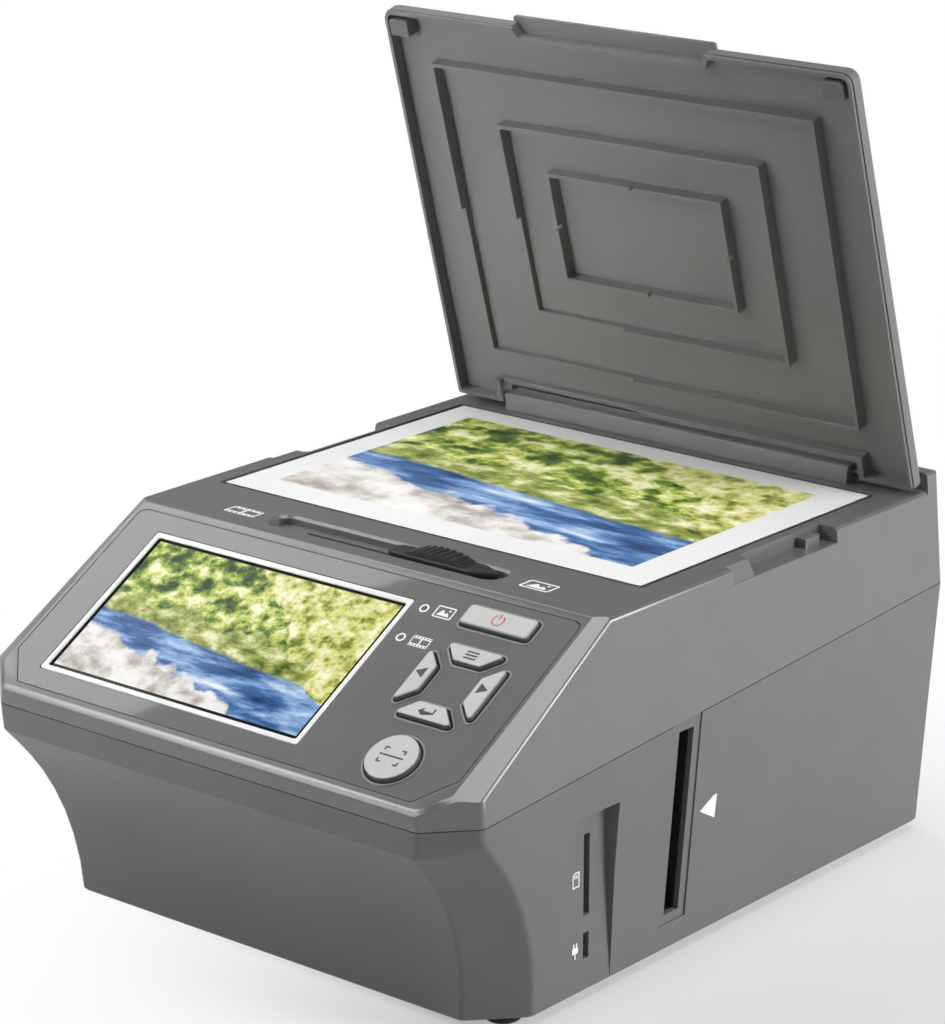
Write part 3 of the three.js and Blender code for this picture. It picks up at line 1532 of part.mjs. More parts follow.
// The film guide: a flat tube between the two side slots, with a window in both walls
function filmGuide() {
  const front = fromFront(filmSlotFront);
  const back = front + filmSlotWidth;
  const bottom = filmSlotBottom;
  const top = bottom + filmSlotHeight;
  const outer = block(
    [-seamHalfWidth, front - filmWall, bottom - filmWall],
    [seamHalfWidth, back + filmWall, top + filmWall],
  );
  const inner = block(
    [-seamHalfWidth - overrun, front, bottom],
    [seamHalfWidth + overrun, back, top],
  );
  const window = block(
    [-filmWindowWidth / 2, front - filmWall - overrun, opticalHeight - filmWindowHeight / 2],
    [filmWindowWidth / 2, back + filmWall + overrun, opticalHeight + filmWindowHeight / 2],
  );
  const between = lowerInside(wall + seatGap);
  const flangeHeight = 2 * filmWall;
  const rails = bothSides.map((side) => {
    const y = side < 0 ? front - filmWall : back + filmWall;
    return block(
      [-seamHalfWidth, y - flangeHeight / 2, top + filmWall - flangeHeight],
      [seamHalfWidth, y + flangeHeight / 2, top + filmWall],
    );
  });
  return cut(join([outer, ...rails]), [inner, window]).intersect(between);
}

const guideFront = fromFront(filmSlotFront) - filmWall;

const diffuserHalfWidth = filmWindowWidth / 2 + backlightMargin;
const diffuserHalfHeight = filmWindowHeight / 2 + backlightMargin;

function filmDiffuser() {
  const back = guideFront - seatGap;
  return block(
    [-diffuserHalfWidth, back - diffuserThickness, opticalHeight - diffuserHalfHeight],
    [diffuserHalfWidth, back, opticalHeight + diffuserHalfHeight],
  );
}

// The lamp housing behind the diffuser: a tray with an edge round it
function filmBacklight() {
  const front = guideFront - 2 * seatGap - diffuserThickness - backlightThickness;
  const halfX = diffuserHalfWidth;
  const halfZ = diffuserHalfHeight;
  const tray = block(
    [-halfX - filmWall - seatGap, front, opticalHeight - halfZ - filmWall - seatGap],
    [halfX + filmWall + seatGap, guideFront - seatGap, opticalHeight + halfZ + filmWall + seatGap],
  );
  const well = block(
    [-halfX - seatGap, front + backlightThickness, opticalHeight - halfZ - seatGap],
    [halfX + seatGap, guideFront, opticalHeight + halfZ + seatGap],
  );
  const lampWell = block(
    [-halfX + backlightMargin, front + filmWall, opticalHeight - halfZ + backlightMargin],
    [halfX - backlightMargin, guideFront, opticalHeight + halfZ - backlightMargin],
  );
  return cut(tray, [well, lampWell]);
}

// A row of lamps on a narrow board, facing the middle of the glass bed
function lightStrip(side) {
  const face = bedCentre + side * (bedWidth / 2 - bedLedge);
  const top = bedBottom - bedLedgeThickness - lightRibHeight / 3;
  const between = (from, to) => {
    const ends = [face - side * from, face - side * to];
    return [Math.min(...ends), Math.max(...ends)];
  };
  const [boardLow, boardHigh] = between(seatGap, seatGap + boardThickness);
  const board = block(
    [boardLow, bedMiddleY - lightStripLength / 2, top - lightStripHeight],
    [boardHigh, bedMiddleY + lightStripLength / 2, top],
  );
  const pitch = lightStripLength / lampCount;
  const lampFoot = seatGap + boardThickness / 2;
  const [lampLow, lampHigh] = between(lampFoot, seatGap + boardThickness + lampHeight);
  const lamps = Array.from({ length: lampCount }, (_, index) => {
    const y = bedMiddleY + (index - (lampCount - 1) / 2) * pitch;
    return block(
      [lampLow, y - lampSize / 2, top - lightStripHeight / 2 - lampSize / 2],
      [lampHigh, y + lampSize / 2, top - lightStripHeight / 2 + lampSize / 2],
    );
  });
  return join([board, ...lamps]);
}

function mainBoard() {
  const board = block(
    [mainBoardRight - mainBoardLength, mainBoardFront, floorTop],
    [mainBoardRight, mainBoardFront + boardThickness, floorTop + mainBoardHeight],
  );
  const chipAcross = mainBoardRight - mainBoardLength / 2;
  const chip = block(
    [chipAcross - switchSize, mainBoardFront - switchHeight / 2, opticalHeight - 2 * switchSize],
    [chipAcross + switchSize, mainBoardFront + boardThickness / 2, opticalHeight],
  );
  return board.add(chip);
}

// A socket on the main board: a flat metal box, open towards the slot in the case
function socket(back, width, bottom, height, length) {
  const mouth = mainBoardRight;
  const y = fromFront(back);
  const shell = block(
    [mouth - length, y - width / 2 - socketWall, bottom - socketWall],
    [mouth, mainBoardFront - seatGap, bottom + height + socketWall],
  );
  const hollow = block(
    [mouth - length + socketWall, y - width / 2, bottom],
    [mouth + overrun, y + width / 2, bottom + height],
  );
  return shell.subtract(hollow);
}

// A USB socket's contact tongue stands in the middle of its hollow
function usbSocket() {
  const shell = socket(usbSlotBack, usbSlotWidth, usbSlotBottom, usbSlotHeight, usbSocketLength);
  const y = fromFront(usbSlotBack);
  const back = mainBoardRight - usbSocketLength;
  const middle = usbSlotBottom + usbSlotHeight / 2;
  const tongue = block(
    [back + socketWall / 2, y - socketWall / 2, middle - usbSlotHeight / 4],
    [back + (usbSocketLength * 2) / 3, y + socketWall / 2, middle + usbSlotHeight / 4],
  );
  return shell.add(tongue);
}

function bedGlass() {
  return centredBlock(bedCentre, bedMiddleY, glassWidth, glassDepth, bedBottom, glassTop);
}

function photoPrint() {
  return centredBlock(bedCentre, bedMiddleY, printWidth, printDepth, glassTop, glassTop + printThickness);
}

// The lid, drawn closed with the hinge's axis as the origin: Y towards the back, so that the
// free edge lies at negative Y, and the rim faces down.
const lidBack = hingeFromEdge;
const alongLid = (distance) => lidBack - distance;
const rimLevel = -hingeFromRim;
const lidTop = rimLevel + lidThickness;
const plateLevel = lidTop - lidPlate;

function lidOutline(inset) {
  const corners = [
    new THREE.Vector2(-lidFreeHalfWidth, alongLid(lidLength)),
    new THREE.Vector2(lidFreeHalfWidth, alongLid(lidLength)),
    new THREE.Vector2(lidHalfWidth, lidBack),
    new THREE.Vector2(-lidHalfWidth, lidBack),
  ];
  const radii = corners.map(({ y }) => {
    const radius = y === lidBack ? lidRearCorner : lidCorner;
    return Math.max(radius - inset, baseEdge);
  });
  return roundedCorners(insetOutline(corners, inset), radii, corners.map(() => rearCornerSteps));
}

// A frame-shaped rib: tall on the free side and on the right, lower on the left near the
// hinge, as the steps in its crest show.
function ribFrame(inset, near, end) {
  const halfWidth = lidHalfWidth - inset;
  const far = lidLength - end;
  const rectangle = (grow) => roundedRectangle(
    0,
    alongLid((near + far) / 2),
    2 * (halfWidth + grow),
    far - near + 2 * grow,
    baseEdge,
  );
  const shape = rectangle(0);
  shape.holes = [new THREE.Path(rectangle(-ribThickness).getPoints())];
  const rib = prism(shape, rimLevel, plateLevel + lidPlate / 2);
  const stepBottom = rimLevel - overrun;
  const stepTop = rimLevel + ribStep;
  const side = block(
    [-halfWidth - overrun, alongLid(ribStepAlong), stepBottom],
    [-halfWidth + 2 * ribThickness, alongLid(near) + overrun, stepTop],
  );
  const base = block(
    [-halfWidth - overrun, alongLid(near + 2 * ribThickness), stepBottom],
    [ribStepAcross, alongLid(near) + overrun, stepTop],
  );
  return { rib, steps: [side, base] };
}

function lidShell() {
  const outer = bevelledPlate(new THREE.Shape(lidOutline(0)), rimLevel - lidEdgeBevel, lidTop, lidEdgeBevel);
  const trimmed = outer.subtract(block(
    [-reach / 2, -reach / 2, rimLevel - reach / 2],
    [reach / 2, reach / 2, rimLevel],
  ));
  const stepTop = rimLevel + lidRimHeight;
  const stepRing = prism(new THREE.Shape(lidOutline(-overrun)), rimLevel - overrun, stepTop)
    .subtract(prism(new THREE.Shape(lidOutline(lidRimInset)), rimLevel - overrun, lidTop));
  const tray = prism(new THREE.Shape(lidOutline(lidRim)), rimLevel - overrun, plateLevel);

  const gripShape = (inset) => {
    const half = gripHalfWidth + inset;
    const depth = gripDepth + inset;
    const corners = [
      new THREE.Vector2(-half - gripFlare, alongLid(lidLength + gripLip + overrun)),
      new THREE.Vector2(half + gripFlare, alongLid(lidLength + gripLip + overrun)),
      new THREE.Vector2(half, alongLid(lidLength - depth)),
      new THREE.Vector2(-half, alongLid(lidLength - depth)),
    ];
    const radii = [baseEdge, baseEdge, gripFlare / 2, gripFlare / 2];
    return new THREE.Shape(roundedCorners(corners, radii, corners.map(() => cornerSteps)));
  };
  const gripWall = prism(gripShape(lidRim), rimLevel, plateLevel + lidPlate / 2)
    .intersect(prism(new THREE.Shape(lidOutline(lidRimInset)), rimLevel, lidTop));
  const gripHollow = prism(gripShape(0), rimLevel - overrun, plateLevel);
  const gripWidth = 2 * (gripHalfWidth + gripFlare);
  const lip = bevelledPlate(
    roundedRectangle(0, alongLid(lidLength), gripWidth, 2 * gripLip, gripLip / 2),
    plateLevel,
    lidTop,
    lidPlate / 4,
  );

  const frames = [
    ribFrame(outerRibInset, outerRibNear, outerRibEnd),
    ribFrame(middleRibInset, middleRibNear, middleRibEnd),
    ribFrame(innerRibInset, innerRibNear, innerRibEnd),
  ];
  const outerFrames = frames.slice(0, 2).map(({ rib, steps }) => cut(rib, steps));
  const innerMiddle = alongLid((innerRibNear + lidLength - innerRibEnd) / 2);
  const ticks = [
    centredBlock(0, innerMiddle, ribNotch, lidLength, rimLevel - overrun, rimLevel + ribStep),
    centredBlock(0, innerMiddle, 2 * lidHalfWidth, ribNotch, rimLevel - overrun, rimLevel + ribStep),
  ];
  const innerFrame = cut(frames[2].rib, ticks);

  const notchHalf = hingeNotchHalfWidth;
  const notchWall = block(
    [-notchHalf - hingeNotchWall, alongLid(hingeNotchDepth + hingeNotchWall), rimLevel],
    [notchHalf + hingeNotchWall, lidBack - lidEdgeBevel, plateLevel + lidPlate / 2],
  );
  const notch = block(
    [-notchHalf, alongLid(hingeNotchDepth), rimLevel - overrun],
    [notchHalf, lidBack + overrun, lidTop + overrun],
  );
  const notchEnd = notchHalf + hingeNotchWall;
  const notchStep = block(
    [-notchHalf, alongLid(hingeNotchDepth + 2 * hingeNotchWall), rimLevel - overrun],
    [ribStepAcross, alongLid(hingeNotchDepth - overrun), rimLevel + ribStep],
  );
  const boreEnd = notchEnd - hingePinCover;
  const pinBore = crossBar(hingePinRadius + seatGap, -boreEnd, boreEnd, 0, 0);
  const tub = join([cut(trimmed, [stepRing, tray]), gripWall, lip, ...outerFrames, innerFrame, notchWall]);
  return cut(tub, [gripHollow, notchStep, notch, pinBore]);
}

// A bumper in a free corner of the lid: it stands a little proud of the rim
function lidPad(side) {
  const x = side * (lidFreeHalfWidth - lidRim - padInset - padWidth / 2);
  const y = alongLid(lidLength - lidRim - padInset - padLength / 2);
  return prism(
    roundedRectangle(x, y, padWidth, padLength, baseEdge),
    rimLevel - padProud,
    plateLevel - seatGap,
  );
}

// The hinge bar: a low housing on the deck, in front of the raised bar, that fills the notch
// of the closed lid
const barEnd = hingeNotchHalfWidth - hingeBarGap;

function hingeBar() {
  const y = fromFront(hingeBack);
  const front = y - hingeBarFront;
  const back = y + hingeBarBack;
  const corners = [
    new THREE.Vector2(front, deckHeight),
    new THREE.Vector2(back, deckHeight),
    new THREE.Vector2(back, barHeight),
    new THREE.Vector2(front, barHeight),
  ];
  const radii = [baseEdge / 4, baseEdge / 4, baseEdge, hingeBarRound];
  const shape = new THREE.Shape(roundedCorners(corners, radii, corners.map(() => cornerSteps)));
  const bar = prism(shape, -barEnd, barEnd, alongX);
  const bores = bothSides.map((side) => {
    const mouth = side * (barEnd + overrun);
    const end = side * (barEnd - hingePinInside - seatGap);
    return crossBar(hingePinRadius + seatGap, Math.min(mouth, end), Math.max(mouth, end), y, hingeHeight);
  });
  return cut(bar, bores);
}

function hingePin(side) {
  const inner = side * (barEnd - hingePinInside);
  const outer = inner + side * hingePinLength;
  const ends = [Math.min(inner, outer), Math.max(inner, outer)];
  return crossBar(hingePinRadius, ...ends, fromFront(hingeBack), hingeHeight);
}

function caseScrew({ x, y }) {
  const seat = postTop - postShoulder - seatGap;
  const head = roundBar(screwHeadRadius, seat - screwHeadHeight, seat, x, y);
  const shank = roundBar(screwRadius, seat - screwHeadHeight / 2, seat + screwLength, x, y);
  return head.add(shank);
}

function foot() {
  return turned([
    [0, 0],
    [footRadius - footEdge, 0],
    [footRadius, footEdge],
    [footRadius, footHeight],
    [0, footHeight],
  ]);
}

// The assembly
const scanner = new THREE.Group();
place(scanner, "lower_housing", lowerHousing(), moulded);
place(scanner, "upper_housing", join([upperHousing(), ...keyBoardPads()]), moulded);

const panel = new THREE.Group();
panel.applyMatrix4(panelMatrix);
scanner.add(panel);
place(panel, "fascia", fascia(), fasciaFinish);
place(panel, "display_frame", displayFrame(), whiteFinish);
place(panel, "display_panel", displayPanel(), blackPlastic);
for (const { name, outline } of buttons) place(panel, name, button(outline), keyFinish);
for (const { name, down } of indicators) place(panel, name, lightPipe(down), opalFinish);
place(panel, "key_board", keyBoard(), boardFinish);
place(scanner, "key_ribbon", keyRibbon(), ribbonFinish);

place(scanner, "bed_glass", bedGlass(), glassFinish);
place(scanner, "photo_print", photoPrint(), printFinish);
place(scanner, "light_strip_left", lightStrip(-1), boardFinish);
place(scanner, "light_strip_right", lightStrip(1), boardFinish);

place(scanner, "mode_knob", modeKnob(), rubberFinish);
place(scanner, "mode_carriage", modeCarriage(), mouldedDark);
const mirror = place(scanner, "fold_mirror", foldMirror(), mirrorFinish);
mirror.position.set(0, fromFront(mirrorBack), opticalHeight);
mirror.rotation.x = -mirrorAngle;
const closeup = place(scanner, "closeup_lens", closeupLens(), glassFinish);
closeup.position.set(modeTravel, fromFront(closeupBack) + closeupThickness / 2, opticalHeight);
closeup.rotation.x = Math.PI / 2;
for (const { name, y } of rods) {
  place(scanner, name, crossBar(rodRadius, -rodHalfLength, rodHalfLength, y, rodHeight), steelFinish);
}

place(scanner, "camera_bracket", cameraBracket(), mouldedDark);
place(scanner, "camera_board", cameraBoard(), boardFinish);
const lens = place(scanner, "camera_lens", cameraLens(), blackPlastic);
lens.position.set(0, fromFront(bracketBack) - seatGap, opticalHeight);
lens.rotation.x = Math.PI / 2;

place(scanner, "film_guide", filmGuide(), blackPlastic);
place(scanner, "film_diffuser", filmDiffuser(), opalFinish);
place(scanner, "film_backlight", filmBacklight(), whiteFinish);
place(scanner, "main_board", mainBoard(), boardFinish);
place(
  scanner,
  "card_socket",
  socket(cardSlotBack, cardSlotWidth, cardSlotBottom, cardSlotHeight, cardSocketLength),
  steelFinish,
);
place(scanner, "usb_socket", usbSocket(), steelFinish);

const lidGroup = new THREE.Group();
lidGroup.position.set(0, fromFront(hingeBack), hingeHeight);
lidGroup.rotation.x = -lidAngle;
scanner.add(lidGroup);
place(lidGroup, "lid", lidShell(), moulded);
place(lidGroup, "lid_pad_left", lidPad(-1), mouldedDark);
place(lidGroup, "lid_pad_right", lidPad(1), mouldedDark);
place(scanner, "hinge_bar", hingeBar(), moulded);
place(scanner, "hinge_pin_left", hingePin(-1), steelFinish);
place(scanner, "hinge_pin_right", hingePin(1), steelFinish);

for (const post of posts) place(scanner, `case_screw_${post.name}`, caseScrew(post), steelFinish);
for (const { name, x, y } of feet) place(scanner, name, foot(), rubberFinish).position.set(x, y, 0);

export default scanner;
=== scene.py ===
import math

import bmesh
import bpy
from mathutils import Matrix, Vector
from mathutils.bvhtree import BVHTree


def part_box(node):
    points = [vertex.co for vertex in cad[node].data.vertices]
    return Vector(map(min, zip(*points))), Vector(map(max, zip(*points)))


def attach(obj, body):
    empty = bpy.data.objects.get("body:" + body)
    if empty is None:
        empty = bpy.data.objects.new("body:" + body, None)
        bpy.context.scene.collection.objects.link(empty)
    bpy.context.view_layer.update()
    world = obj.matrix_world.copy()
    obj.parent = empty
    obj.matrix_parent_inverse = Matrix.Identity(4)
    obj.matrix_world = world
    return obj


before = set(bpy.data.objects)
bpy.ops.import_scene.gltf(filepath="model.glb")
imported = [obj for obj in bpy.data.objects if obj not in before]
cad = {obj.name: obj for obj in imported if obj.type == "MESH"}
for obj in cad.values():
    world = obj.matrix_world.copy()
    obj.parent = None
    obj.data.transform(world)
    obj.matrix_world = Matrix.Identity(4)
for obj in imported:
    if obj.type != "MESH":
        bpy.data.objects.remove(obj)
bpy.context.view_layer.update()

# The camera stands to the right of the machine's front, above the deck, and looks down at it with a long
# lens, so that the sloping panel, the deck, the inside of the open lid and the right side all show.
camera_turn = math.radians(39.73)
camera_rise = math.radians(17.07)
camera_back = Vector((
    math.sin(camera_turn) * math.cos(camera_rise),
    -math.cos(camera_turn) * math.cos(camera_rise),
    math.sin(camera_rise),
))
camera_data = bpy.data.cameras.new("camera")
camera_data.lens = 133.5
camera_data.clip_start = 0.05
camera_data.clip_end = 60
camera = bpy.data.objects.new("camera", camera_data)
camera.location = (0.770, -0.9237, 0.4965)
camera.rotation_mode = "QUATERNION"
camera.rotation_quaternion = (-camera_back).to_track_quat("-Z", "Y")
bpy.context.scene.collection.objects.link(camera)
bpy.context.scene.camera = camera
bpy.context.scene.view_settings.view_transform = "Standard"

# The lower half of the case is one injection moulding in grey ABS: a tray with a hollow front, the screw
# posts and the cradles for the slider's rods. Its skin has the fine grain of a spark-eroded mould and a
# satin gloss.
case_grey = (0.148, 0.148, 0.147, 1)
case_gloss = 0.43
grain_size = 0.00055
grain_depth = 0.000012
grain_detail = 2
grain_strength = 0.6
gloss_change = 0.1
mottle_size = 0.035
mottle_detail = 4
part_line_edge = 0.00035
same_point = 0.00001
same_plane = 0.6


def grained_finish(name, colour, gloss, unevenness=0.04, grain=grain_size, depth=grain_depth, sockets=()):
    """A surface of one colour with a faint mottle, and a fine grain that softens its shine."""
    material = bpy.data.materials.new(name)
    material.use_nodes = True
    tree = material.node_tree
    shader = tree.nodes["Principled BSDF"]
    place = tree.nodes.new("ShaderNodeTexCoord")
    cloud = tree.nodes.new("ShaderNodeTexNoise")
    cloud.inputs["Scale"].default_value = 1 / mottle_size
    cloud.inputs["Detail"].default_value = mottle_detail
    tree.links.new(place.outputs["Object"], cloud.inputs["Vector"])
    tint = tree.nodes.new("ShaderNodeValToRGB")
    tint.name = "tint"
    tint.color_ramp.elements[0].position = 0.3
    tint.color_ramp.elements[1].position = 0.7
    tint.color_ramp.elements[0].color = [part * (1 - unevenness) for part in colour[:3]] + [1]
    tint.color_ramp.elements[1].color = [part * (1 + unevenness) for part in colour[:3]] + [1]
    tree.links.new(cloud.outputs["Fac"], tint.inputs["Fac"])
    tree.links.new(tint.outputs["Color"], shader.inputs["Base Color"])
    skin = tree.nodes.new("ShaderNodeTexNoise")
    skin.inputs["Scale"].default_value = 1 / grain
    skin.inputs["Detail"].default_value = grain_detail
    tree.links.new(place.outputs["Object"], skin.inputs["Vector"])
    shine = tree.nodes.new("ShaderNodeMapRange")
    shine.inputs["To Min"].default_value = gloss * (1 - gloss_change)
    shine.inputs["To Max"].default_value = gloss * (1 + gloss_change)
    tree.links.new(skin.outputs["Fac"], shine.inputs["Value"])
    tree.links.new(shine.outputs["Result"], shader.inputs["Roughness"])
    relief = tree.nodes.new("ShaderNodeBump")
    relief.inputs["Distance"].default_value = depth
    relief.inputs["Strength"].default_value = grain_strength
    tree.links.new(skin.outputs["Fac"], relief.inputs["Height"])
    tree.links.new(relief.outputs["Normal"], shader.inputs["Normal"])
    for socket, value in sockets:
        shader.inputs[socket].default_value = value
    return material


def eased(node, material, edge, steps=2, sharper_than=28, joined=True):
    """A piece from the assembly, in its finish, with the small rounding a mould leaves on its edges."""
    piece = cad[node]
    piece.data.materials.clear()
    piece.data.materials.append(material)
    for face in piece.data.polygons:
        face.use_smooth = True
    weld = piece.modifiers.new("closed skin", "WELD")
    weld.merge_threshold = same_point
    if joined:
        flat = piece.modifiers.new("whole faces", "DECIMATE")
        flat.decimate_type = "DISSOLVE"
        flat.angle_limit = math.radians(same_plane)
    if edge:
        rounding = piece.modifiers.new("eased edges", "BEVEL")
        rounding.width = edge
        rounding.segments = steps
        rounding.limit_method = "ANGLE"
        rounding.angle_limit = math.radians(sharper_than)
        rounding.use_clamp_overlap = True
        rounding.miter_outer = "MITER_ARC"
    shading = piece.modifiers.new("even shading", "WEIGHTED_NORMAL")
    shading.keep_sharp = True
    return piece


case_plastic = grained_finish(
    "case grey plastic", case_grey, gloss=case_gloss, sockets=[("Specular IOR Level", 0.25)],
)
eased("lower_housing", case_plastic, edge=part_line_edge)

# Four rubber feet, moulded round discs with a small edge, are pressed into the floor of the lower half. The
# rubber is dull and takes up dust from the desk.
foot_rubber = grained_finish(
    "foot rubber", (0.022, 0.022, 0.022, 1), gloss=0.8, unevenness=0.2, grain=0.0004, depth=0.00003,
)
corners_of_base = ("front_left", "front_right", "rear_left", "rear_right")
for corner in corners_of_base:
    eased("foot_" + corner, foot_rubber, edge=0.0004)

# Four pan-head steel screws come up through the posts of the lower half and cut their thread in the upper
# half. They are zinc plated, with the fine turning marks that plating leaves.
screw_steel = grained_finish(
    "zinc plated steel", (0.56, 0.57, 0.58, 1), gloss=0.32, unevenness=0.08, grain=0.0003, depth=0.00001,
    sockets=[("Metallic", 1)],
)
for corner in corners_of_base:
    eased("case_screw_" + corner, screw_steel, edge=0.0002)

# The film runs through a flat tube of matt black plastic between the two side slots. An opal plate on its
# front wall spreads the light of the white lamp tray behind it over the window.
tube_black = grained_finish(
    "matt black plastic", (0.010, 0.010, 0.010, 1), gloss=0.75, unevenness=0.15, grain=0.0006,
    depth=0.00002,
)
opal_white = grained_finish("opal plastic", (0.80, 0.80, 0.78, 1), gloss=0.5, unevenness=0.03)
eased("film_guide", tube_black, edge=0.0003)
eased("film_diffuser", opal_white, edge=0.0002)
eased("film_backlight", opal_white, edge=0.0003)

# Two ground steel rods lie across the case in the cradles of the lower half. They are bright, with faint
# grinding lines round them.
eased("front_guide_rod", screw_steel, edge=0.0002)
eased("rear_guide_rod", screw_steel, edge=0.0002)

# The slider's carriage is a ribbed moulding in black glass-filled plastic that runs on the two rods. It
# holds the mirror that folds the camera's view up to the bed, and the close-up lens for film.
carriage_black = grained_finish(
    "glass filled black plastic", (0.02, 0.02, 0.021, 1), gloss=0.6, unevenness=0.25, grain=0.0008,
    depth=0.00003,
)
eased("mode_carriage", carriage_black, edge=0.0003)
silver = grained_finish(
    "front silvered glass", (0.9, 0.92, 0.93, 1), gloss=0.03, unevenness=0.01, grain=0.002, depth=0.0,
    sockets=[("Metallic", 1)],
)
eased("fold_mirror", silver, edge=0.0002)
lens_glass = grained_finish(
    "coated lens glass", (0.85, 0.9, 0.95, 1), gloss=0.04, unevenness=0.02, grain=0.002, depth=0.0,
    sockets=[("Transmission Weight", 1)],
)
eased("closeup_lens", lens_glass, edge=0.0)

# The camera stands at the back on a bent sheet-metal bracket. Its barrel is turned black aluminium, and the
# board with the sensor is screwed to the bracket's other side.
board_green = grained_finish(
    "green solder mask", (0.015, 0.09, 0.04, 1), gloss=0.35, unevenness=0.25, grain=0.0009, depth=0.00002,
)
eased("camera_bracket", screw_steel, edge=0.0003)
eased("camera_lens", tube_black, edge=0.0003)
eased("camera_board", board_green, edge=0.0002)

# The main board stands on its edge behind the port pocket, in green solder mask. Both sockets are soldered
# to it: the card's has a black shell, and the small one a bright tinned one with a tongue in it.
eased("main_board", board_green, edge=0.0002)
eased("card_socket", tube_black, edge=0.0002)
socket_tin = grained_finish(
    "tinned socket shell", (0.66, 0.66, 0.65, 1), gloss=0.25, unevenness=0.05, grain=0.0004,
    depth=0.000006, sockets=[("Metallic", 1)],
)
eased("usb_socket", socket_tin, edge=0.00015)

# The key board hangs under the panel on its pads, with one switch under each button. A flat cable with grey
# film on both sides runs from it down to the main board.
cable_grey = grained_finish("flat cable film", (0.62, 0.62, 0.58, 1), gloss=0.4, unevenness=0.05)
cable_tree = cable_grey.node_tree
cable_place = cable_tree.nodes.new("ShaderNodeTexCoord")
cable_cores = cable_tree.nodes.new("ShaderNodeTexWave")
cable_cores.bands_direction = "X"
cable_cores.inputs["Scale"].default_value = 500
cable_tree.links.new(cable_place.outputs["Object"], cable_cores.inputs["Vector"])
core_relief = cable_tree.nodes.new("ShaderNodeBump")
core_relief.inputs["Distance"].default_value = 0.00012
cable_tree.links.new(cable_cores.outputs["Fac"], core_relief.inputs["Height"])
cable_tree.links.new(core_relief.outputs["Normal"], cable_tree.nodes["Principled BSDF"].inputs["Normal"])
eased("key_board", board_green, edge=0.0002)
eased("key_ribbon", cable_grey, edge=0.0)

# The upper half of the case is moulded from the same plastic in a smoother mould, so it shines more: the
# sloping panel, the deck with the bed's well, the slider's track and the finger notches. It drops over the
# lower half's lip, and four screws pull it down.
deck_edge = 0.00045
top_grey = (0.122, 0.122, 0.121, 1)
top_gloss = 0.30
top_plastic = grained_finish(
    "glossier case grey plastic", top_grey, gloss=top_gloss, sockets=[("Specular IOR Level", 0.8)],
)
eased("upper_housing", top_plastic, edge=deck_edge)

# Two narrow boards with a row of small lamps each are clipped to the ribs at the sides of the well. They
# light the print from below through the glass.
for node in ("light_strip_left", "light_strip_right"):
    eased(node, board_green, edge=0.0002)

# The bed is a pane of clear float glass that rests on the well's ledge. A black border is printed on its
# underside, so that no light from the edge reaches the picture.
pane_low, pane_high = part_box("bed_glass")
border_width = 6.5
border_thickness = 0.04
border_inset = 0.2
border_edge = 0.01
border_outer_corner = 1
border_inner_corner = 2
border_black = grained_finish("black enamel border", (0.006, 0.006, 0.006, 1), gloss=0.3, unevenness=0.1)
float_glass = grained_finish(
    "float glass", (0.94, 0.98, 0.96, 1), gloss=0.01, unevenness=0.01, grain=0.01, depth=0.0,
    sockets=[("Transmission Weight", 1), ("IOR", 1.52)],
)
metres_in_mm = 0.001
plate_sharp_angle = 35
eased("bed_glass", float_glass, edge=0.0)


def plate(name, outer, openings, low, high, edge, place):
    """A flat plate with openings, cut from its outlines in millimetres, with a small edge all round."""
    curve = bpy.data.curves.new(name, "CURVE")
    curve.dimensions = "2D"
    curve.fill_mode = "BOTH"
    for outline in (outer, *openings):
        spline = curve.splines.new("POLY")
        spline.points.add(len(outline) - 1)
        for point, (across, along) in zip(spline.points, outline):
            point.co = (across, along, 0, 1)
        spline.use_cyclic_u = True
    curve.extrude = (high - low) / 2 - edge
    curve.bevel_depth = edge
    curve.bevel_resolution = 1
    curve.offset = -edge
    draft = bpy.data.objects.new(name, curve)
    bpy.context.scene.collection.objects.link(draft)
    bpy.context.view_layer.update()
    finished = draft.evaluated_get(bpy.context.evaluated_depsgraph_get())
    mesh = bpy.data.meshes.new_from_object(finished)
    bpy.data.objects.remove(draft)
    mesh.transform(Matrix.Translation((0, 0, (low + high) / 2)))
    mesh.transform(Matrix.Scale(metres_in_mm, 4))
    mesh.transform(place)
    for face in mesh.polygons:
        face.use_smooth = True
    mesh.set_sharp_from_angle(angle=math.radians(plate_sharp_angle))
    piece = bpy.data.objects.new(name, mesh)
    bpy.context.scene.collection.objects.link(piece)
    return piece


def rectangle(low, high, radius=0, steps=4):
    """The outline of a rectangle with round corners."""
    corners = [Vector(low), Vector((high[0], low[1])), Vector(high), Vector((low[0], high[1]))]
    return rounded(corners, radius, steps=steps) if radius else corners


def rounded(corners, radius, steps=4):
    """An outline, counter-clockwise, whose corners are replaced by arcs of one radius."""
    points = []
    for index, corner in enumerate(corners):
        before = (corners[index - 1] - corner).normalized()
        after = (corners[(index + 1) % len(corners)] - corner).normalized()
        half = math.acos(max(-1, min(1, before.dot(after)))) / 2
        setback = radius / math.tan(half)
        centre = corner + (before + after).normalized() * (radius / math.sin(half))
        start = corner + before * setback - centre
        end = corner + after * setback - centre
        first = math.atan2(start.y, start.x)
        turn = math.atan2(end.y, end.x) - first
        turn = math.atan2(math.sin(turn), math.cos(turn))
        for step in range(steps + 1):
            angle = first + turn * step / steps
            points.append(centre + Vector((math.cos(angle), math.sin(angle))) * radius)
    return points


border_low = [value / metres_in_mm + border_inset for value in pane_low[:2]]
border_high = [value / metres_in_mm - border_inset for value in pane_high[:2]]
window_low = [value + border_width for value in border_low]
window_high = [value - border_width for value in border_high]
border = plate(
    "bed_glass_border",
    rectangle(border_low, border_high, radius=border_outer_corner),
    [rectangle(window_low, window_high, radius=border_inner_corner)],
    low=-border_thickness,
    high=0,
    edge=border_edge,
    place=Matrix.Translation((0, 0, pane_low[2])),
)
border.data.materials.append(border_black)
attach(border, "case")

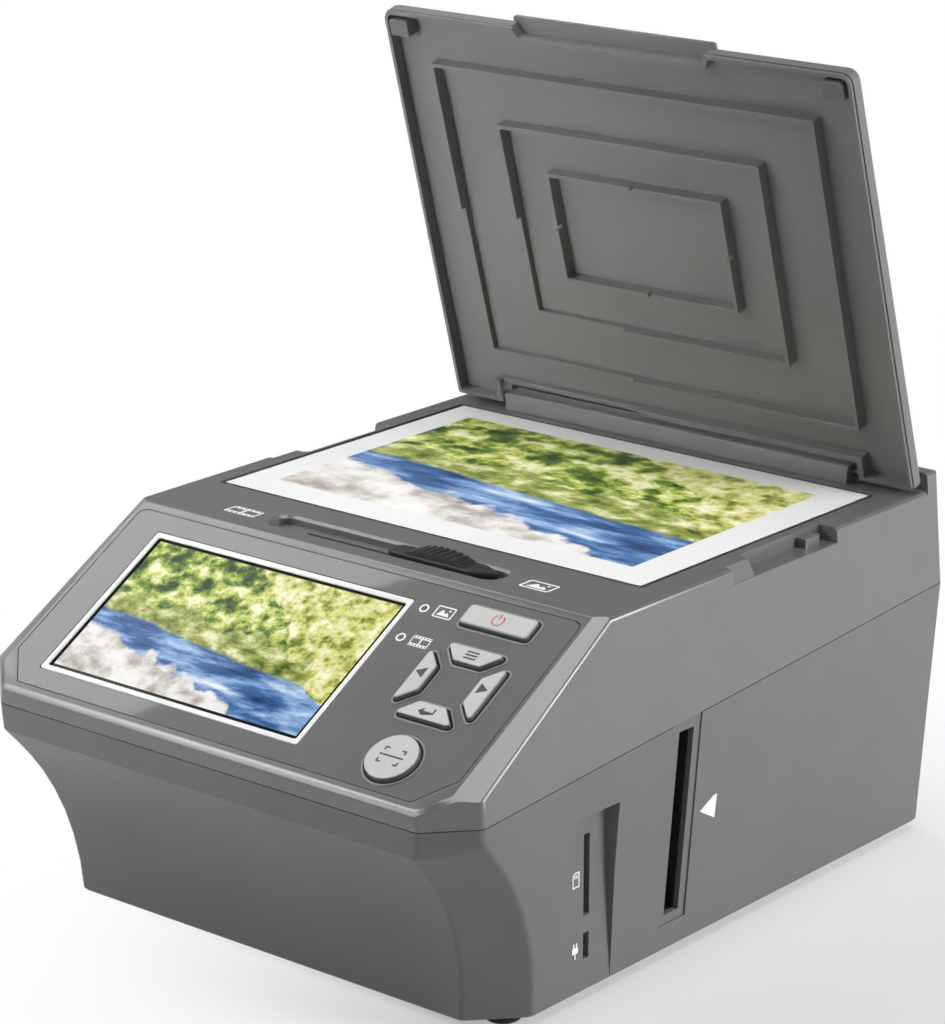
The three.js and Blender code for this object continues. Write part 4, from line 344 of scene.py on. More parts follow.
# A glossy photo print of 178 by 127 mm lies loose on the glass, picture side up, as it is shown off. The
# paper is white with a plain border, and the landscape on it is a lake between rocks and trees.
print_low, print_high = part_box("photo_print")
photo_left, photo_bottom, photo_right, photo_top = 0.0117, 0.0136, 0.0135, 0.0109
leaf_greens = ((0.36, (0.006, 0.016, 0.004)), (0.46, (0.025, 0.07, 0.008)), (0.53, (0.13, 0.24, 0.025)),
               (0.60, (0.55, 0.62, 0.12)), (0.68, (0.98, 0.96, 0.62)))
rock_tones = ((0.30, (0.10, 0.085, 0.075)), (0.42, (0.52, 0.47, 0.42)), (0.52, (0.86, 0.84, 0.81)),
              (0.64, (0.96, 0.95, 0.93)))
lake_blues = ((0.35, (0.012, 0.035, 0.10)), (0.48, (0.05, 0.14, 0.36)), (0.58, (0.28, 0.45, 0.72)),
              (0.70, (0.88, 0.92, 0.96)))
meadow_tones = ((0.32, (0.05, 0.08, 0.012)), (0.50, (0.34, 0.40, 0.08)), (0.66, (0.88, 0.86, 0.52)))
bush_tones = ((0.30, (0.05, 0.035, 0.015)), (0.45, (0.20, 0.26, 0.04)), (0.56, (0.66, 0.66, 0.18)),
              (0.70, (0.97, 0.94, 0.66)))
motif_detail = 7
motif_swirl = 0.1
blots_in_cloud = 2.6
shore_detail = 5


def grown_pattern(tree, place, size, stretch, tones, roughness=0.62, blots=0.0):
    """A patch of one motif: stretched cloudy noise in its own tones, with round blots in it."""
    drawn = tree.nodes.new("ShaderNodeMapping")
    drawn.inputs["Scale"].default_value = (1 / stretch, 1, 1)
    tree.links.new(place, drawn.inputs["Vector"])
    cloud = tree.nodes.new("ShaderNodeTexNoise")
    cloud.inputs["Scale"].default_value = size
    cloud.inputs["Detail"].default_value = motif_detail
    cloud.inputs["Roughness"].default_value = roughness
    cloud.inputs["Distortion"].default_value = motif_swirl
    tree.links.new(drawn.outputs["Vector"], cloud.inputs["Vector"])
    spots = tree.nodes.new("ShaderNodeTexVoronoi")
    spots.inputs["Scale"].default_value = blots_in_cloud * size
    tree.links.new(drawn.outputs["Vector"], spots.inputs["Vector"])
    spotted = tree.nodes.new("ShaderNodeMath")
    spotted.operation = "MULTIPLY_ADD"
    spotted.inputs[1].default_value = -blots
    tree.links.new(spots.outputs["Distance"], spotted.inputs[0])
    tree.links.new(cloud.outputs["Fac"], spotted.inputs[2])
    ramp = tree.nodes.new("ShaderNodeValToRGB")
    for _ in tones[2:]:
        ramp.color_ramp.elements.new(0.5)
    for stop, (position, tone) in zip(ramp.color_ramp.elements, tones):
        stop.position = position
        stop.color = (*tone, 1)
    tree.links.new(spotted.outputs["Value"], ramp.inputs["Fac"])
    return ramp.outputs["Color"]


def shore(tree, place, level, slope, waviness, size, softness=0.012):
    """One above a wavy line across the picture and nothing below it."""
    part = tree.nodes.new("ShaderNodeSeparateXYZ")
    tree.links.new(place, part.inputs["Vector"])
    wander = tree.nodes.new("ShaderNodeTexNoise")
    wander.inputs["Scale"].default_value = size
    wander.inputs["Detail"].default_value = shore_detail
    tree.links.new(place, wander.inputs["Vector"])
    lean = tree.nodes.new("ShaderNodeMath")
    lean.operation = "MULTIPLY_ADD"
    lean.inputs[1].default_value = slope
    tree.links.new(part.outputs["X"], lean.inputs[0])
    tree.links.new(part.outputs["Y"], lean.inputs[2])
    wave = tree.nodes.new("ShaderNodeMath")
    wave.operation = "MULTIPLY_ADD"
    wave.inputs[1].default_value = waviness
    tree.links.new(wander.outputs["Fac"], wave.inputs[0])
    tree.links.new(lean.outputs["Value"], wave.inputs[2])
    edge = tree.nodes.new("ShaderNodeMapRange")
    edge.inputs["From Min"].default_value = level + waviness / 2 - softness
    edge.inputs["From Max"].default_value = level + waviness / 2 + softness
    tree.links.new(wave.outputs["Value"], edge.inputs["Value"])
    return edge.outputs["Result"]


lower_colour, upper_colour, mixed_colour = 6, 7, 2


def laid_over(tree, share, below, above):
    """One motif painted over another where its share is one."""
    blend = tree.nodes.new("ShaderNodeMix")
    blend.data_type = "RGBA"
    tree.links.new(share, blend.inputs["Factor"])
    tree.links.new(below, blend.inputs[lower_colour])
    tree.links.new(above, blend.inputs[upper_colour])
    return blend.outputs[mixed_colour]


def landscape(tree, corner, tilt, size):
    """A lake between rocks and trees, and the place on it: zero to one up the picture's height."""
    where = tree.nodes.new("ShaderNodeTexCoord")
    frame_of_picture = tree.nodes.new("ShaderNodeMapping")
    frame_of_picture.vector_type = "TEXTURE"
    frame_of_picture.inputs["Location"].default_value = corner
    frame_of_picture.inputs["Rotation"].default_value = (tilt, 0, 0)
    frame_of_picture.inputs["Scale"].default_value = (size[1], size[1], size[1])
    tree.links.new(where.outputs["Object"], frame_of_picture.inputs["Vector"])
    place = frame_of_picture.outputs["Vector"]
    scene = grown_pattern(tree, place, size=9, stretch=4.5, tones=lake_blues)
    meadow = grown_pattern(tree, place, size=14, stretch=1.6, tones=meadow_tones)
    scene = laid_over(
        tree, shore(tree, place, level=0.47, slope=0.10, waviness=0.10, size=3), scene, meadow,
    )
    leaves = grown_pattern(tree, place, size=7, stretch=1.2, tones=leaf_greens, roughness=0.66, blots=-0.12)
    scene = laid_over(
        tree, shore(tree, place, level=0.60, slope=0.06, waviness=0.42, size=4), scene, leaves,
    )
    bush = grown_pattern(tree, place, size=10, stretch=1.1, tones=bush_tones, roughness=0.66, blots=-0.14)
    scene = laid_over(tree, shore(tree, place, level=1.55, slope=0.72, waviness=0.5, size=5), scene, bush)
    rocks = grown_pattern(tree, place, size=4.5, stretch=1.5, tones=rock_tones)
    bank = tree.nodes.new("ShaderNodeMath")
    bank.operation = "SUBTRACT"
    bank.inputs[0].default_value = 1
    tree.links.new(shore(tree, place, level=0.36, slope=0.26, waviness=0.5, size=2.6), bank.inputs[1])
    return laid_over(tree, bank.outputs["Value"], scene, rocks), place


def product(tree, one, other):
    """Two shares taken together."""
    both = tree.nodes.new("ShaderNodeMath")
    both.operation = "MULTIPLY"
    tree.links.new(one, both.inputs[0])
    tree.links.new(other, both.inputs[1])
    return both.outputs["Value"]


def inside(tree, place, aspect, softness=0.002):
    """One inside the picture's rectangle and nothing outside it."""
    part = tree.nodes.new("ShaderNodeSeparateXYZ")
    tree.links.new(place, part.inputs["Vector"])
    steps = []
    for output, length in (("X", aspect), ("Y", 1)):
        for outer, inner in ((0, softness), (length, length - softness)):
            step = tree.nodes.new("ShaderNodeMapRange")
            step.inputs["From Min"].default_value = outer
            step.inputs["From Max"].default_value = inner
            tree.links.new(part.outputs[output], step.inputs["Value"])
            steps.append(step.outputs["Result"])
    share = steps[0]
    for step in steps[1:]:
        share = product(tree, share, step)
    return share


photo_white = (0.84, 0.84, 0.84, 1)
photo_gloss = [("Specular IOR Level", 0.25), ("Coat Weight", 0.1), ("Coat Roughness", 0.15)]
photo_paper = grained_finish(
    "glossy photo paper", photo_white, gloss=0.30, unevenness=0.01, grain=0.03, depth=0.0,
    sockets=photo_gloss,
)
photo_tree = photo_paper.node_tree
photo_size = (
    print_high.x - print_low.x - photo_left - photo_right,
    print_high.y - print_low.y - photo_bottom - photo_top,
)
photo_corner = (print_low.x + photo_left, print_low.y + photo_bottom, print_high.z)
photo_scene, photo_place = landscape(photo_tree, photo_corner, 0, photo_size)
on_picture = inside(photo_tree, photo_place, photo_size[0] / photo_size[1])
photo_tree.links.new(
    laid_over(photo_tree, on_picture, photo_tree.nodes["tint"].outputs["Color"], photo_scene),
    photo_tree.nodes["Principled BSDF"].inputs["Base Color"],
)
eased("photo_print", photo_paper, edge=0.0)

# The thumb knob is moulded in black plastic, with a ribbed hump for the thumb. Its stem goes down through
# the track in the deck and is screwed to the carriage.
knob_black = grained_finish(
    "black knob plastic", (0.012, 0.012, 0.0125, 1), gloss=0.42, unevenness=0.1, grain=0.0005,
    depth=0.00002,
)
eased("mode_knob", knob_black, edge=0.0003, sharper_than=24)

# The fascia is a thin plate of smooth dark grey acrylic, cut to eight corners, that is glued into the
# panel's pocket. Its polished face mirrors the room where the moulded case doesn't. Its flat faces aren't
# joined into whole ones, which would close its holes.
fascia_grey = grained_finish(
    "smooth fascia plate", (0.160, 0.160, 0.158, 1), gloss=0.03, unevenness=0.02, grain=0.0012,
    depth=0.0000001,
)
eased("fascia", fascia_grey, edge=0.0002, joined=False)

# A white frame stands round the display, with the glass behind it. The live picture shows the same kind of
# view as the print, inside a narrow black margin, and it glows.
frame_white = grained_finish("white frame plastic", (0.78, 0.78, 0.77, 1), gloss=0.35, unevenness=0.02)
eased("display_frame", frame_white, edge=0.00022, joined=False)
panel_tilt = math.radians(30)
panel_origin = Vector((0, -0.054604, 0.1253))
panel_place = Matrix.Translation(panel_origin) @ Matrix.Rotation(panel_tilt, 4, "X")
display_centre = Vector((-0.0244, -0.0429, 0))
display_size = Vector((0.1059, 0.0583, 0))
display_corner = panel_place @ (display_centre - display_size / 2)
display_black = (0.004, 0.004, 0.005, 1)
display_glow = [("Emission Strength", 1), ("Specular IOR Level", 0.15)]
display_glass = grained_finish(
    "black display glass", display_black, gloss=0.08, unevenness=0.1, grain=0.002, depth=0.0,
    sockets=display_glow,
)
display_tree = display_glass.node_tree
display_scene, display_place = landscape(display_tree, display_corner, panel_tilt, display_size)
lit = inside(display_tree, display_place, display_size[0] / display_size[1])
display_tree.links.new(
    laid_over(display_tree, lit, display_tree.nodes["tint"].outputs["Color"], display_scene),
    display_tree.nodes["Principled BSDF"].inputs["Emission Color"],
)
eased("display_panel", display_glass, edge=0.0001)

# The six buttons are moulded in light grey plastic, with rounded shoulders; their flanks are painted
# darker, as painted shade, the more they turn away from the panel's face. Each slides in its own hole in
# the fascia, with a flange under it that keeps it in.
key_grey = grained_finish(
    "light grey key plastic", (0.52, 0.52, 0.515, 1), gloss=0.42, unevenness=0.03, grain=0.0005,
    depth=0.00002,
)
# Painted shade: the flanks take this dark grey in place of the key's own colour.
key_flank_painted_shade = (0.13, 0.13, 0.13, 1)
flank_from, face_from = 0.35, 0.9
key_tree = key_grey.node_tree
key_place = key_tree.nodes.new("ShaderNodeTexCoord")
key_up = key_tree.nodes.new("ShaderNodeVectorMath")
key_up.operation = "DOT_PRODUCT"
key_up.inputs[1].default_value = panel_place.to_3x3() @ Vector((0, 0, 1))
key_tree.links.new(key_place.outputs["Normal"], key_up.inputs[0])
key_face = key_tree.nodes.new("ShaderNodeMapRange")
key_face.inputs["From Min"].default_value = flank_from
key_face.inputs["From Max"].default_value = face_from
key_tree.links.new(key_up.outputs["Value"], key_face.inputs["Value"])
key_shaded_colour = key_tree.nodes.new("ShaderNodeMix")
key_shaded_colour.data_type = "RGBA"
key_shaded_colour.inputs[lower_colour].default_value = key_flank_painted_shade
key_tree.links.new(key_face.outputs["Result"], key_shaded_colour.inputs["Factor"])
key_tree.links.new(key_tree.nodes["tint"].outputs["Color"], key_shaded_colour.inputs[upper_colour])
key_tree.links.new(
    key_shaded_colour.outputs[mixed_colour], key_tree.nodes["Principled BSDF"].inputs["Base Color"],
)
for node in ("power_button", "menu_key", "left_key", "right_key", "enter_key", "scan_button"):
    eased(node, key_grey, edge=0.0005, steps=3, sharper_than=24)

# Round each button the fascia has a low rim with a rounded top, moulded with it, that keeps a finger off
# the gap; its lighter grey is a painted highlight. A thin black ring lies inside the rim, painted shade
# that stands for the shadow in the gap round the button. These sizes are in millimetres on the panel.
rim_near = 0.7
rim_far = 1.35
rim_height = 0.28
rim_edge = 0.1
# The rim's grey is lighter than the fascia's: a painted highlight on its rounded top.
rim_painted_highlight_grey = grained_finish("moulded rim with painted highlight", (0.24, 0.24, 0.24, 1), gloss=0.3, unevenness=0.03)
shade_ring_gap = 0.12
shade_ring_height = 0.03
shade_ring_overlap = 0.05
power_centre = Vector((67.35, -11.9))
power_half = Vector((13.4, 4.0))
key_ring_centre = Vector((67.75, -39.5))
key_inner, key_outer = 8.9, 15.4
key_inner_half, key_outer_half = 5.3, 11.6
key_corner = 0.9
power_corner = 1
scan_centre = Vector((67.85, -71.0))
scan_radius = 9.0


def grown(corners, distance):
    """The outline with straight sides, counter-clockwise, moved outwards by a distance."""
    moved = []
    for index, corner in enumerate(corners):
        before = (corner - corners[index - 1]).normalized()
        after = (corners[(index + 1) % len(corners)] - corner).normalized()
        outwards = Vector((before.y + after.y, -before.x - after.x))
        moved.append(corner + outwards * (distance / (1 + before.dot(after))))
    return moved


def circle(centre, radius, steps=64):
    """A round outline."""
    turns = [2 * math.pi * step / steps for step in range(steps)]
    return [centre + Vector((math.cos(turn), math.sin(turn))) * radius for turn in turns]


def wedge(quarter):
    """The four corners of one key of the ring. The keys are counted from the top round to the left."""
    corners = [
        Vector((key_inner_half, key_inner)),
        Vector((key_outer_half, key_outer)),
        Vector((-key_outer_half, key_outer)),
        Vector((-key_inner_half, key_inner)),
    ]
    turn = Matrix.Rotation(math.radians(90 * quarter), 2)
    return [key_ring_centre + turn @ corner for corner in corners]


def key_outline(name, distance):
    """A button's outline, moved outwards by a distance."""
    if name == "scan":
        return circle(scan_centre, scan_radius + distance)
    if name == "power":
        corners = rectangle(power_centre - power_half, power_centre + power_half)
        return rounded(grown(corners, distance), power_corner + distance)
    quarter = ("menu", "left", "enter", "right").index(name)
    return rounded(grown(wedge(quarter), distance), key_corner + distance)


for name in ("power", "menu", "left", "enter", "right", "scan"):
    rim = plate(
        name + "_rim",
        key_outline(name, rim_far),
        [key_outline(name, rim_near)],
        low=-rim_height / 2,
        high=rim_height,
        edge=rim_edge,
        place=panel_place,
    )
    rim.data.materials.append(rim_painted_highlight_grey)
    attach(rim, "case")
    # Painted shade: a ring of matt black over the gap, for the gap's shadow.
    shade_ring = plate(
        name + "_shade_ring",
        key_outline(name, rim_near + shade_ring_overlap),
        [key_outline(name, shade_ring_gap)],
        low=-rim_height / 2,
        high=shade_ring_height,
        edge=0,
        place=panel_place,
    )
    shade_ring.data.materials.append(tube_black)
    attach(shade_ring, "case")

# Two light pipes of smoky clear plastic end flush in the fascia, one for each kind of original. A white
# ring is printed round each of them.
pipe_plastic = grained_finish("smoky light pipe", (0.10, 0.10, 0.10, 1), gloss=0.12, unevenness=0.1)
pipe_centres = {"photo": Vector((37.55, -13.2)), "film": Vector((37.55, -26.3))}
pipe_ring_out = 1.75
pipe_ring_in = 1.12
ink_height = 0.02
ring_lift = 0.01
eased("photo_indicator", pipe_plastic, edge=0.0001)
eased("film_indicator", pipe_plastic, edge=0.0001)


def ink(name, tone, unevenness=0.03):
    """A screen-printing ink: matt, with slight uneven cover."""
    return grained_finish(name, tone, gloss=0.5, unevenness=unevenness, grain=0.0003, depth=0.000004)


def printed(name, shapes, place, level, colour, body):
    """Marks printed on a surface: outlines in millimetres, as thin as a film of ink."""
    mark = plate(name, shapes[0], shapes[1:], low=level, high=level + ink_height, edge=0, place=place)
    mark.data.materials.append(colour)
    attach(mark, body)
    return mark


white_ink = ink("white print", (0.86, 0.86, 0.86, 1))
dark_ink = ink("dark print", (0.045, 0.045, 0.045, 1))
red_ink = ink("red print", (0.50, 0.10, 0.09, 1))
for name, centre in pipe_centres.items():
    printed(
        name + "_ring",
        [circle(centre, pipe_ring_out), circle(centre, pipe_ring_in)],
        panel_place, ring_lift, white_ink, "case",
    )

# Small pictograms stand beside the light pipes, on the deck, in the port pocket and on the buttons: a
# picture, a strip of film, a card, a plug, and what each button does. They are screen printed in white, red
# and dark grey, and their outlines are in millimetres.
mark_lift = 0.012
key_top = 1.9
sign_line = 0.6
power_line = 0.5


def stroke(points, width):
    """The outline of a line of even width through some points."""
    points = [Vector(point) for point in points]
    sides = ([], [])
    for index, point in enumerate(points):
        before = (point - points[max(index - 1, 0)]).normalized()
        after = (points[min(index + 1, len(points) - 1)] - point).normalized()
        along = (before + after).normalized()
        across = Vector((-along.y, along.x))
        straight = before if before.length else after
        reach = width / 2 / max(0.5, across.dot(Vector((-straight.y, straight.x))))
        sides[0].append(point - across * reach)
        sides[1].append(point + across * reach)
    return sides[0] + sides[1][::-1]


def arc(centre, radius, first, last, steps=20):
    """Points along a part of a circle, from one angle to another in degrees."""
    angles = [math.radians(first + (last - first) * step / steps) for step in range(steps + 1)]
    return [Vector(centre) + Vector((math.cos(angle), math.sin(angle))) * radius for angle in angles]


def picture_sign(centre, size):
    """A framed picture with a hill and a sun."""
    centre, half = Vector(centre), Vector(size) / 2
    line = size[1] * 0.1
    shapes = [rectangle(centre - half, centre + half, radius=line * 1.2)]
    hole = half - Vector((line, line))
    shapes.append(rectangle(centre - hole, centre + hole, radius=line * 0.5))
    low = centre.y - hole.y * 0.72
    shapes.append([
        Vector((centre.x - hole.x * 0.8, low)),
        Vector((centre.x + hole.x * 0.8, low)),
        Vector((centre.x + hole.x * 0.42, centre.y + hole.y * 0.1)),
        Vector((centre.x + hole.x * 0.14, centre.y - hole.y * 0.25)),
        Vector((centre.x - hole.x * 0.25, centre.y + hole.y * 0.55)),
    ])
    shapes.append(circle(centre + Vector((hole.x * 0.55, hole.y * 0.5)), hole.y * 0.2, steps=20))
    return shapes


def strip_sign(centre, size):
    """A strip of film with a row of holes along both edges."""
    centre, half = Vector(centre), Vector(size) / 2
    shapes = [rectangle(centre - half, centre + half, radius=size[1] * 0.06)]
    holes = 6
    pitch = size[0] / holes
    hole = Vector((pitch * 0.24, size[1] * 0.065))
    for number in range(holes):
        for side in (-1, 1):
            middle = centre + Vector(((number + 0.5) * pitch - half.x, side * size[1] * 0.385))
            shapes.append(rectangle(middle - hole, middle + hole))
    window = Vector((size[0] * 0.21, size[1] * 0.24))
    for side in (-1, 1):
        middle = centre + Vector((side * size[0] * 0.245, 0))
        shapes.append(rectangle(middle - window, middle + window))
    return shapes


printed("picture_mark", picture_sign((45.6, -12.9), (7.4, 5.0)), panel_place, mark_lift, white_ink, "case")
printed("strip_mark", strip_sign((45.4, -26.2), (7.4, 4.4)), panel_place, mark_lift, white_ink, "case")

power_sign = [
    stroke(arc(power_centre, 2.1, first=-235, last=55, steps=30), width=power_line),
    stroke([power_centre + Vector((0, 0.5)), power_centre + Vector((0, 2.6))], width=power_line),
]
menu_centre = key_ring_centre + Vector((0, (key_inner + key_outer) / 2))
menu_sign = [
    stroke([menu_centre + Vector((-2.4, step)), menu_centre + Vector((2.4, step))], width=sign_line)
    for step in (-1.3, 0, 1.3)
]
left_sign = [[Vector((56.9, -36.0)), Vector((53.3, -38.2)), Vector((56.9, -40.4))]]
right_sign = [[Vector((78.4, -40.5)), Vector((82.1, -38.4)), Vector((78.4, -36.2))]]
enter_centre = key_ring_centre - Vector((0, (key_inner + key_outer) / 2))
enter_path = ((2.6, 1.5), (2.6, -0.5), (-1.4, -0.5))
enter_sign = [
    stroke([enter_centre + Vector(point) for point in enter_path], width=sign_line),
    [enter_centre + Vector(point) for point in ((-1.3, -2.0), (-1.3, 1.0), (-3.2, -0.5))],
]
scan_sign = [
    stroke([scan_centre + Vector(point) for point in points], width=sign_line)
    for points in (
        ((-3.9, 1.6), (-3.9, 2.9), (-2.4, 2.9)),
        ((2.4, 2.9), (3.9, 2.9), (3.9, 1.6)),
        ((3.9, -1.6), (3.9, -2.9), (2.4, -2.9)),
        ((-2.4, -2.9), (-3.9, -2.9), (-3.9, -1.6)),
        ((-4.6, 0), (4.6, 0)),
    )
]
for name, shapes, colour, button in (
    ("power_sign", power_sign, red_ink, "power_button"),
    ("menu_sign", menu_sign, dark_ink, "menu_key"),
    ("left_sign", left_sign, dark_ink, "left_key"),
    ("right_sign", right_sign, dark_ink, "right_key"),
    ("enter_sign", enter_sign, dark_ink, "enter_key"),
    ("scan_sign", scan_sign, dark_ink, "scan_button"),
):
    printed(name, shapes, panel_place, key_top + mark_lift, colour, button)

outside_right = 0.4


def side_place(node, across, up):
    """The flat place on a node's right side, found from outside, whose own axes run to the back and up."""
    skin = bmesh.new()
    skin.from_mesh(cad[node].data)
    tree = BVHTree.FromBMesh(skin)
    skin.free()
    point, normal, _, _ = tree.ray_cast(Vector((outside_right, across, up)), Vector((-1, 0, 0)))
    to_back = Vector((0, 1, 0)) - normal * normal.y
    to_back.normalize()
    turn = Matrix((to_back, normal.cross(to_back), normal)).transposed()
    return Matrix.Translation(point) @ turn.to_4x4()


card_sign = [
    [Vector(point) for point in ((-1.7, -2.6), (1.7, -2.6), (1.7, 2.6), (-0.7, 2.6), (-1.7, 1.6))],
    [Vector(point) for point in ((-1.25, -2.15), (1.25, -2.15), (1.25, 2.15), (-0.5, 2.15), (-1.25, 1.4))],
    *[rectangle((step, 0.5), (step + 0.35, 1.6)) for step in (-0.75, -0.15, 0.45)],
]
plug_sign = [
    stroke([(0, -2.6), (0, -0.6)], width=sign_line),
    rectangle((-1.4, -0.8), (1.4, 1.3), radius=0.3),
    rectangle((-1.0, 1.3), (-0.4, 2.7)),
    rectangle((0.4, 1.3), (1.0, 2.7)),
]
arrow_sign = [[Vector((4.3, 4.6)), Vector((-4.6, 0)), Vector((3.8, -4.6))]]
deck_place = Matrix.Translation((0, 0, panel_origin.z))
for name, shapes, place in (
    ("deck_strip_mark", strip_sign((-61.5, -42.3), (13.0, 6.4)), deck_place),
    ("deck_picture_mark", picture_sign((64.0, -41.5), (11.6, 7.2)), deck_place),
    ("card_sign", card_sign, side_place("lower_housing", across=-0.064, up=0.042)),
    ("plug_sign", plug_sign, side_place("lower_housing", across=-0.0642, up=0.018)),
    ("film_arrow", arrow_sign, side_place("lower_housing", across=0, up=0.0477)),
):
    printed(name, shapes, place, mark_lift, white_ink, "case")

# The hinge bar is a low grey moulding that is clipped to the deck in front of the raised rear bar. The
# lid's two short steel pins are pressed into its ends.
eased("hinge_bar", case_plastic, edge=deck_edge)
eased("hinge_pin_left", screw_steel, edge=0.0002)
eased("hinge_pin_right", screw_steel, edge=0.0002)

# The lid is one moulding in the case's grey: a thin plate with a rim, three rib frames that keep it flat,
# and a hollow grip in its free edge. Two soft bumpers are pushed into its free corners.
bumper_grey = grained_finish(
    "grey bumper rubber", (0.10, 0.10, 0.10, 1), gloss=0.6, unevenness=0.1, grain=0.0004, depth=0.00002,
)
eased("lid", case_plastic, edge=0.0004)
eased("lid_pad_left", bumper_grey, edge=0.0005, steps=3)
eased("lid_pad_right", bumper_grey, edge=0.0005, steps=3)

# The machine stands on white paper. The paper takes the machine's shadow near it, and further away it is as
# white as the wall behind, however little light reaches it.
floor_reach = 9
floor_grey = (0.68, 0.68, 0.68, 1)
floor_lift = 0.08
shadow_middle = (0.42, 0, 0)
shadow_reach = 0.22
white_from = 0.55
floor_mesh = bpy.data.meshes.new("floor")
floor_mesh.from_pydata(
    [(side * floor_reach, end * floor_reach, 0) for side, end in ((-1, -1), (1, -1), (1, 1), (-1, 1))],
    [],
    [(0, 1, 2, 3)],
)
floor = bpy.data.objects.new("floor", floor_mesh)
bpy.context.scene.collection.objects.link(floor)
paper = bpy.data.materials.new("white paper floor")
paper.use_nodes = True
paper_tree = paper.node_tree
paper_shader = paper_tree.nodes["Principled BSDF"]
paper_shader.inputs["Base Color"].default_value = floor_grey
paper_shader.inputs["Roughness"].default_value = 0.9
paper_shader.inputs["Specular IOR Level"].default_value = 0


def seen_directly(tree):
    """One where a surface is seen, also through glass or in a shiny piece, and nothing for soft light."""
    ray = tree.nodes.new("ShaderNodeLightPath")
    share = ray.outputs["Is Camera Ray"]
    for kind in ("Is Glossy Ray", "Is Transmission Ray"):
        larger = tree.nodes.new("ShaderNodeMath")
        larger.operation = "MAXIMUM"
        tree.links.new(share, larger.inputs[0])
        tree.links.new(ray.outputs[kind], larger.inputs[1])
        share = larger.outputs["Value"]
    return share


def faded(tree, distance, near, far, low, high):
    """A share that rises smoothly from one distance to another."""
    fade = tree.nodes.new("ShaderNodeMapRange")
    fade.interpolation_type = "SMOOTHSTEP"
    fade.inputs["From Min"].default_value = near
    fade.inputs["From Max"].default_value = far
    fade.inputs["To Min"].default_value = low
    fade.inputs["To Max"].default_value = high
    tree.links.new(distance, fade.inputs["Value"])
    return fade.outputs["Result"]


paper_seen = seen_directly(paper_tree)
paper_place = paper_tree.nodes.new("ShaderNodeTexCoord")
from_machine = paper_tree.nodes.new("ShaderNodeVectorMath")
from_machine.operation = "DISTANCE"
from_machine.inputs[1].default_value = shadow_middle
paper_tree.links.new(paper_place.outputs["Object"], from_machine.inputs[0])
near_white = paper_tree.nodes.new("ShaderNodeEmission")
near_share = paper_tree.nodes.new("ShaderNodeMath")
near_share.operation = "MULTIPLY"
near_share.inputs[1].default_value = floor_lift
paper_tree.links.new(paper_seen, near_share.inputs[0])
paper_tree.links.new(near_share.outputs["Value"], near_white.inputs["Strength"])
lit_paper = paper_tree.nodes.new("ShaderNodeAddShader")
paper_tree.links.new(paper_shader.outputs[0], lit_paper.inputs[0])
paper_tree.links.new(near_white.outputs[0], lit_paper.inputs[1])
far_white = paper_tree.nodes.new("ShaderNodeEmission")
far_white.inputs["Strength"].default_value = 1
far_fade = faded(
    paper_tree, from_machine.outputs["Value"], near=shadow_reach, far=white_from, low=0, high=1,
)
far_share = product(paper_tree, paper_seen, far_fade)
whole_floor = paper_tree.nodes.new("ShaderNodeMixShader")
paper_tree.links.new(far_share, whole_floor.inputs[0])
paper_tree.links.new(lit_paper.outputs[0], whole_floor.inputs[1])
paper_tree.links.new(far_white.outputs[0], whole_floor.inputs[2])
paper_tree.links.new(whole_floor.outputs[0], paper_tree.nodes["Material Output"].inputs["Surface"])
floor.data.materials.append(paper)

# The room is white near the ground and darker overhead, as in a studio with black cloth under its ceiling.
# It adds a little even light of its own.
room_light = 0.14
room_overhead = 0.12
cloth_from = 0.22
room = bpy.data.worlds.new("studio room")
room.use_nodes = True
bpy.context.scene.world = room
room_tree = room.node_tree
room_shader = room_tree.nodes["Background"]
room_shader.inputs["Color"].default_value = (1, 1, 1, 1)
room_place = room_tree.nodes.new("ShaderNodeTexCoord")
room_height = room_tree.nodes.new("ShaderNodeSeparateXYZ")
room_tree.links.new(room_place.outputs["Generated"], room_height.inputs["Vector"])
room_white = faded(room_tree, room_height.outputs["Z"], near=0, far=cloth_from, low=1, high=room_overhead)
room_blend = room_tree.nodes.new("ShaderNodeMix")
room_blend.inputs["A"].default_value = room_light
room_tree.links.new(seen_directly(room_tree), room_blend.inputs["Factor"])
room_tree.links.new(room_white, room_blend.inputs["B"])
room_tree.links.new(room_blend.outputs["Result"], room_shader.inputs["Strength"])

# Four softboxes light the machine: one at the right and a little behind it for its side, a tall leaning one
# in front on the left that shines along the rounded front edge, a large one overhead, and one with a narrow
# beam for the inside of the lid.
lid_beam = 10


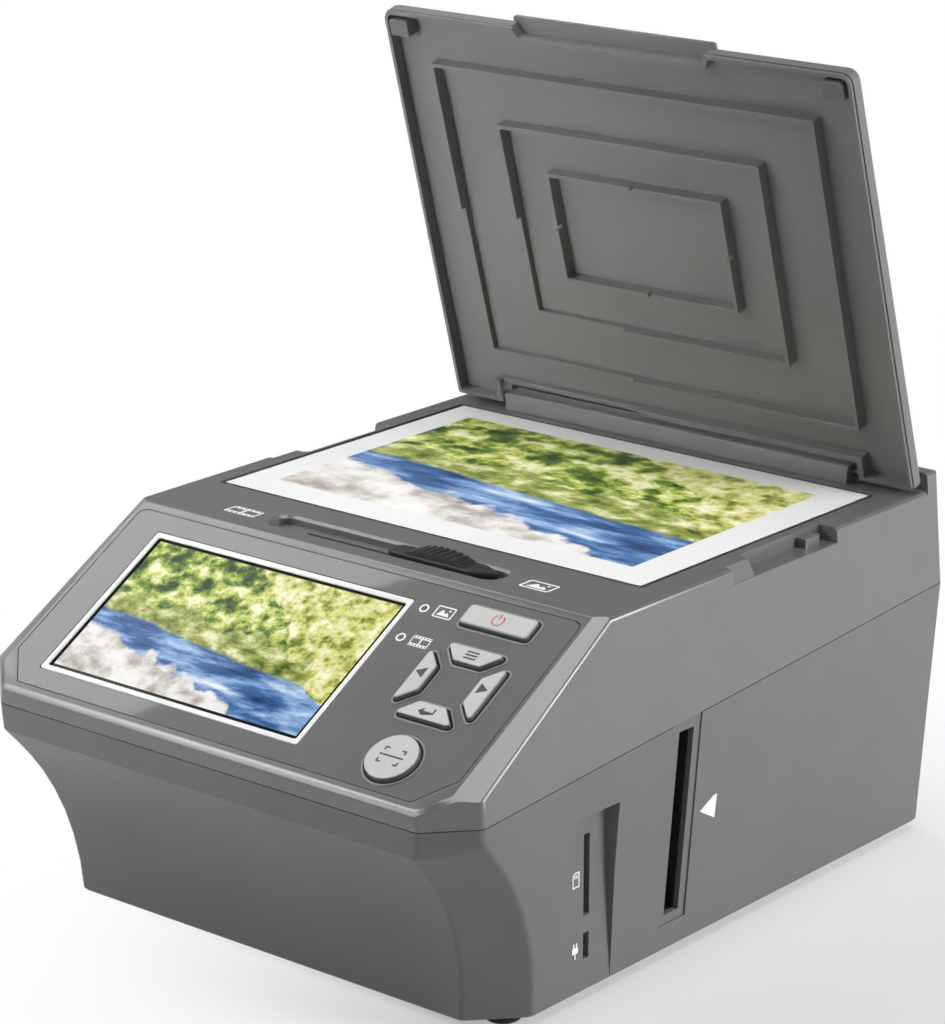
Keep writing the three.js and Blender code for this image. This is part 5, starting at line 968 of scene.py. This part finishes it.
def softbox(name, place, target, width, height, radiance, upright=(0, 0, 1)):
    """A rectangular lamp that faces a point, with its height along a direction, at a given brightness."""
    data = bpy.data.lights.new(name, "AREA")
    data.shape = "RECTANGLE"
    data.size = width
    data.size_y = height
    data.energy = radiance * math.pi * width * height
    lamp = bpy.data.objects.new(name, data)
    back = (Vector(place) - Vector(target)).normalized()
    side = Vector(upright).cross(back).normalized()
    turn = Matrix((side, back.cross(side), back)).transposed().to_4x4()
    lamp.matrix_world = Matrix.Translation(place) @ turn
    bpy.context.scene.collection.objects.link(lamp)
    return lamp


softbox(
    "right softbox", place=(0.95, 0.42, 0.42), target=(0, 0.02, 0.08), width=0.48, height=0.48,
    radiance=15,
)
softbox(
    "front softbox", place=(-1.16, -1.06, 1.22), target=(0, -0.1, 0.1), width=0.4, height=0.9, radiance=16,
    upright=(0, 0.8, 0.6),
)
softbox("top softbox", place=(0.25, -0.1, 1.9), target=(0, 0, 0.1), width=0.8, height=0.8, radiance=6.5)
lid_lamp = softbox(
    "lid softbox", place=(-0.45, -1.6, 0.42), target=(-0.16, 0.09, 0.27), width=0.4, height=0.4,
    radiance=0.76,
)
lid_lamp.data.spread = math.radians(lid_beam)

# A fifth softbox hangs where the fascia mirrors it towards the camera: its near edge is the line whose
# mirror image runs down the fascia beside the display, and it covers the mirror image of all that lies left
# of the line.
sheen_points = [panel_place @ Vector((0.0223, -0.0033, 0)), panel_place @ Vector((-0.0322, -0.0830, 0))]
sheen_distance = 1.5
sheen_width = 0.8
sheen_height = 1.28
sheen_radiance = 2.7
panel_out = (panel_place.to_3x3() @ Vector((0, 0, 1))).normalized()


def mirrored(point):
    """The direction in which the camera's ray to a point leaves the fascia."""
    ray = (point - camera.location).normalized()
    return ray - panel_out * (2 * ray.dot(panel_out))


sheen_middle = (sheen_points[0] + sheen_points[1]) / 2
sheen_way = mirrored(sheen_middle)
sheen_centre = sheen_middle + sheen_way * sheen_distance
edge_ends = []
for point in sheen_points:
    way = mirrored(point)
    edge_ends.append(point + way * ((sheen_centre - point).dot(sheen_way) / way.dot(sheen_way)))
edge_way = (edge_ends[0] - edge_ends[1]).normalized()
beside = edge_way.cross(sheen_way).normalized()
if beside.x > 0:
    beside.negate()
sheen_place = sheen_centre + beside * (sheen_width / 2)
softbox(
    "sheen softbox",
    place=sheen_place,
    target=sheen_place - sheen_way,
    width=sheen_width,
    height=sheen_height,
    radiance=sheen_radiance,
    upright=edge_way,
)
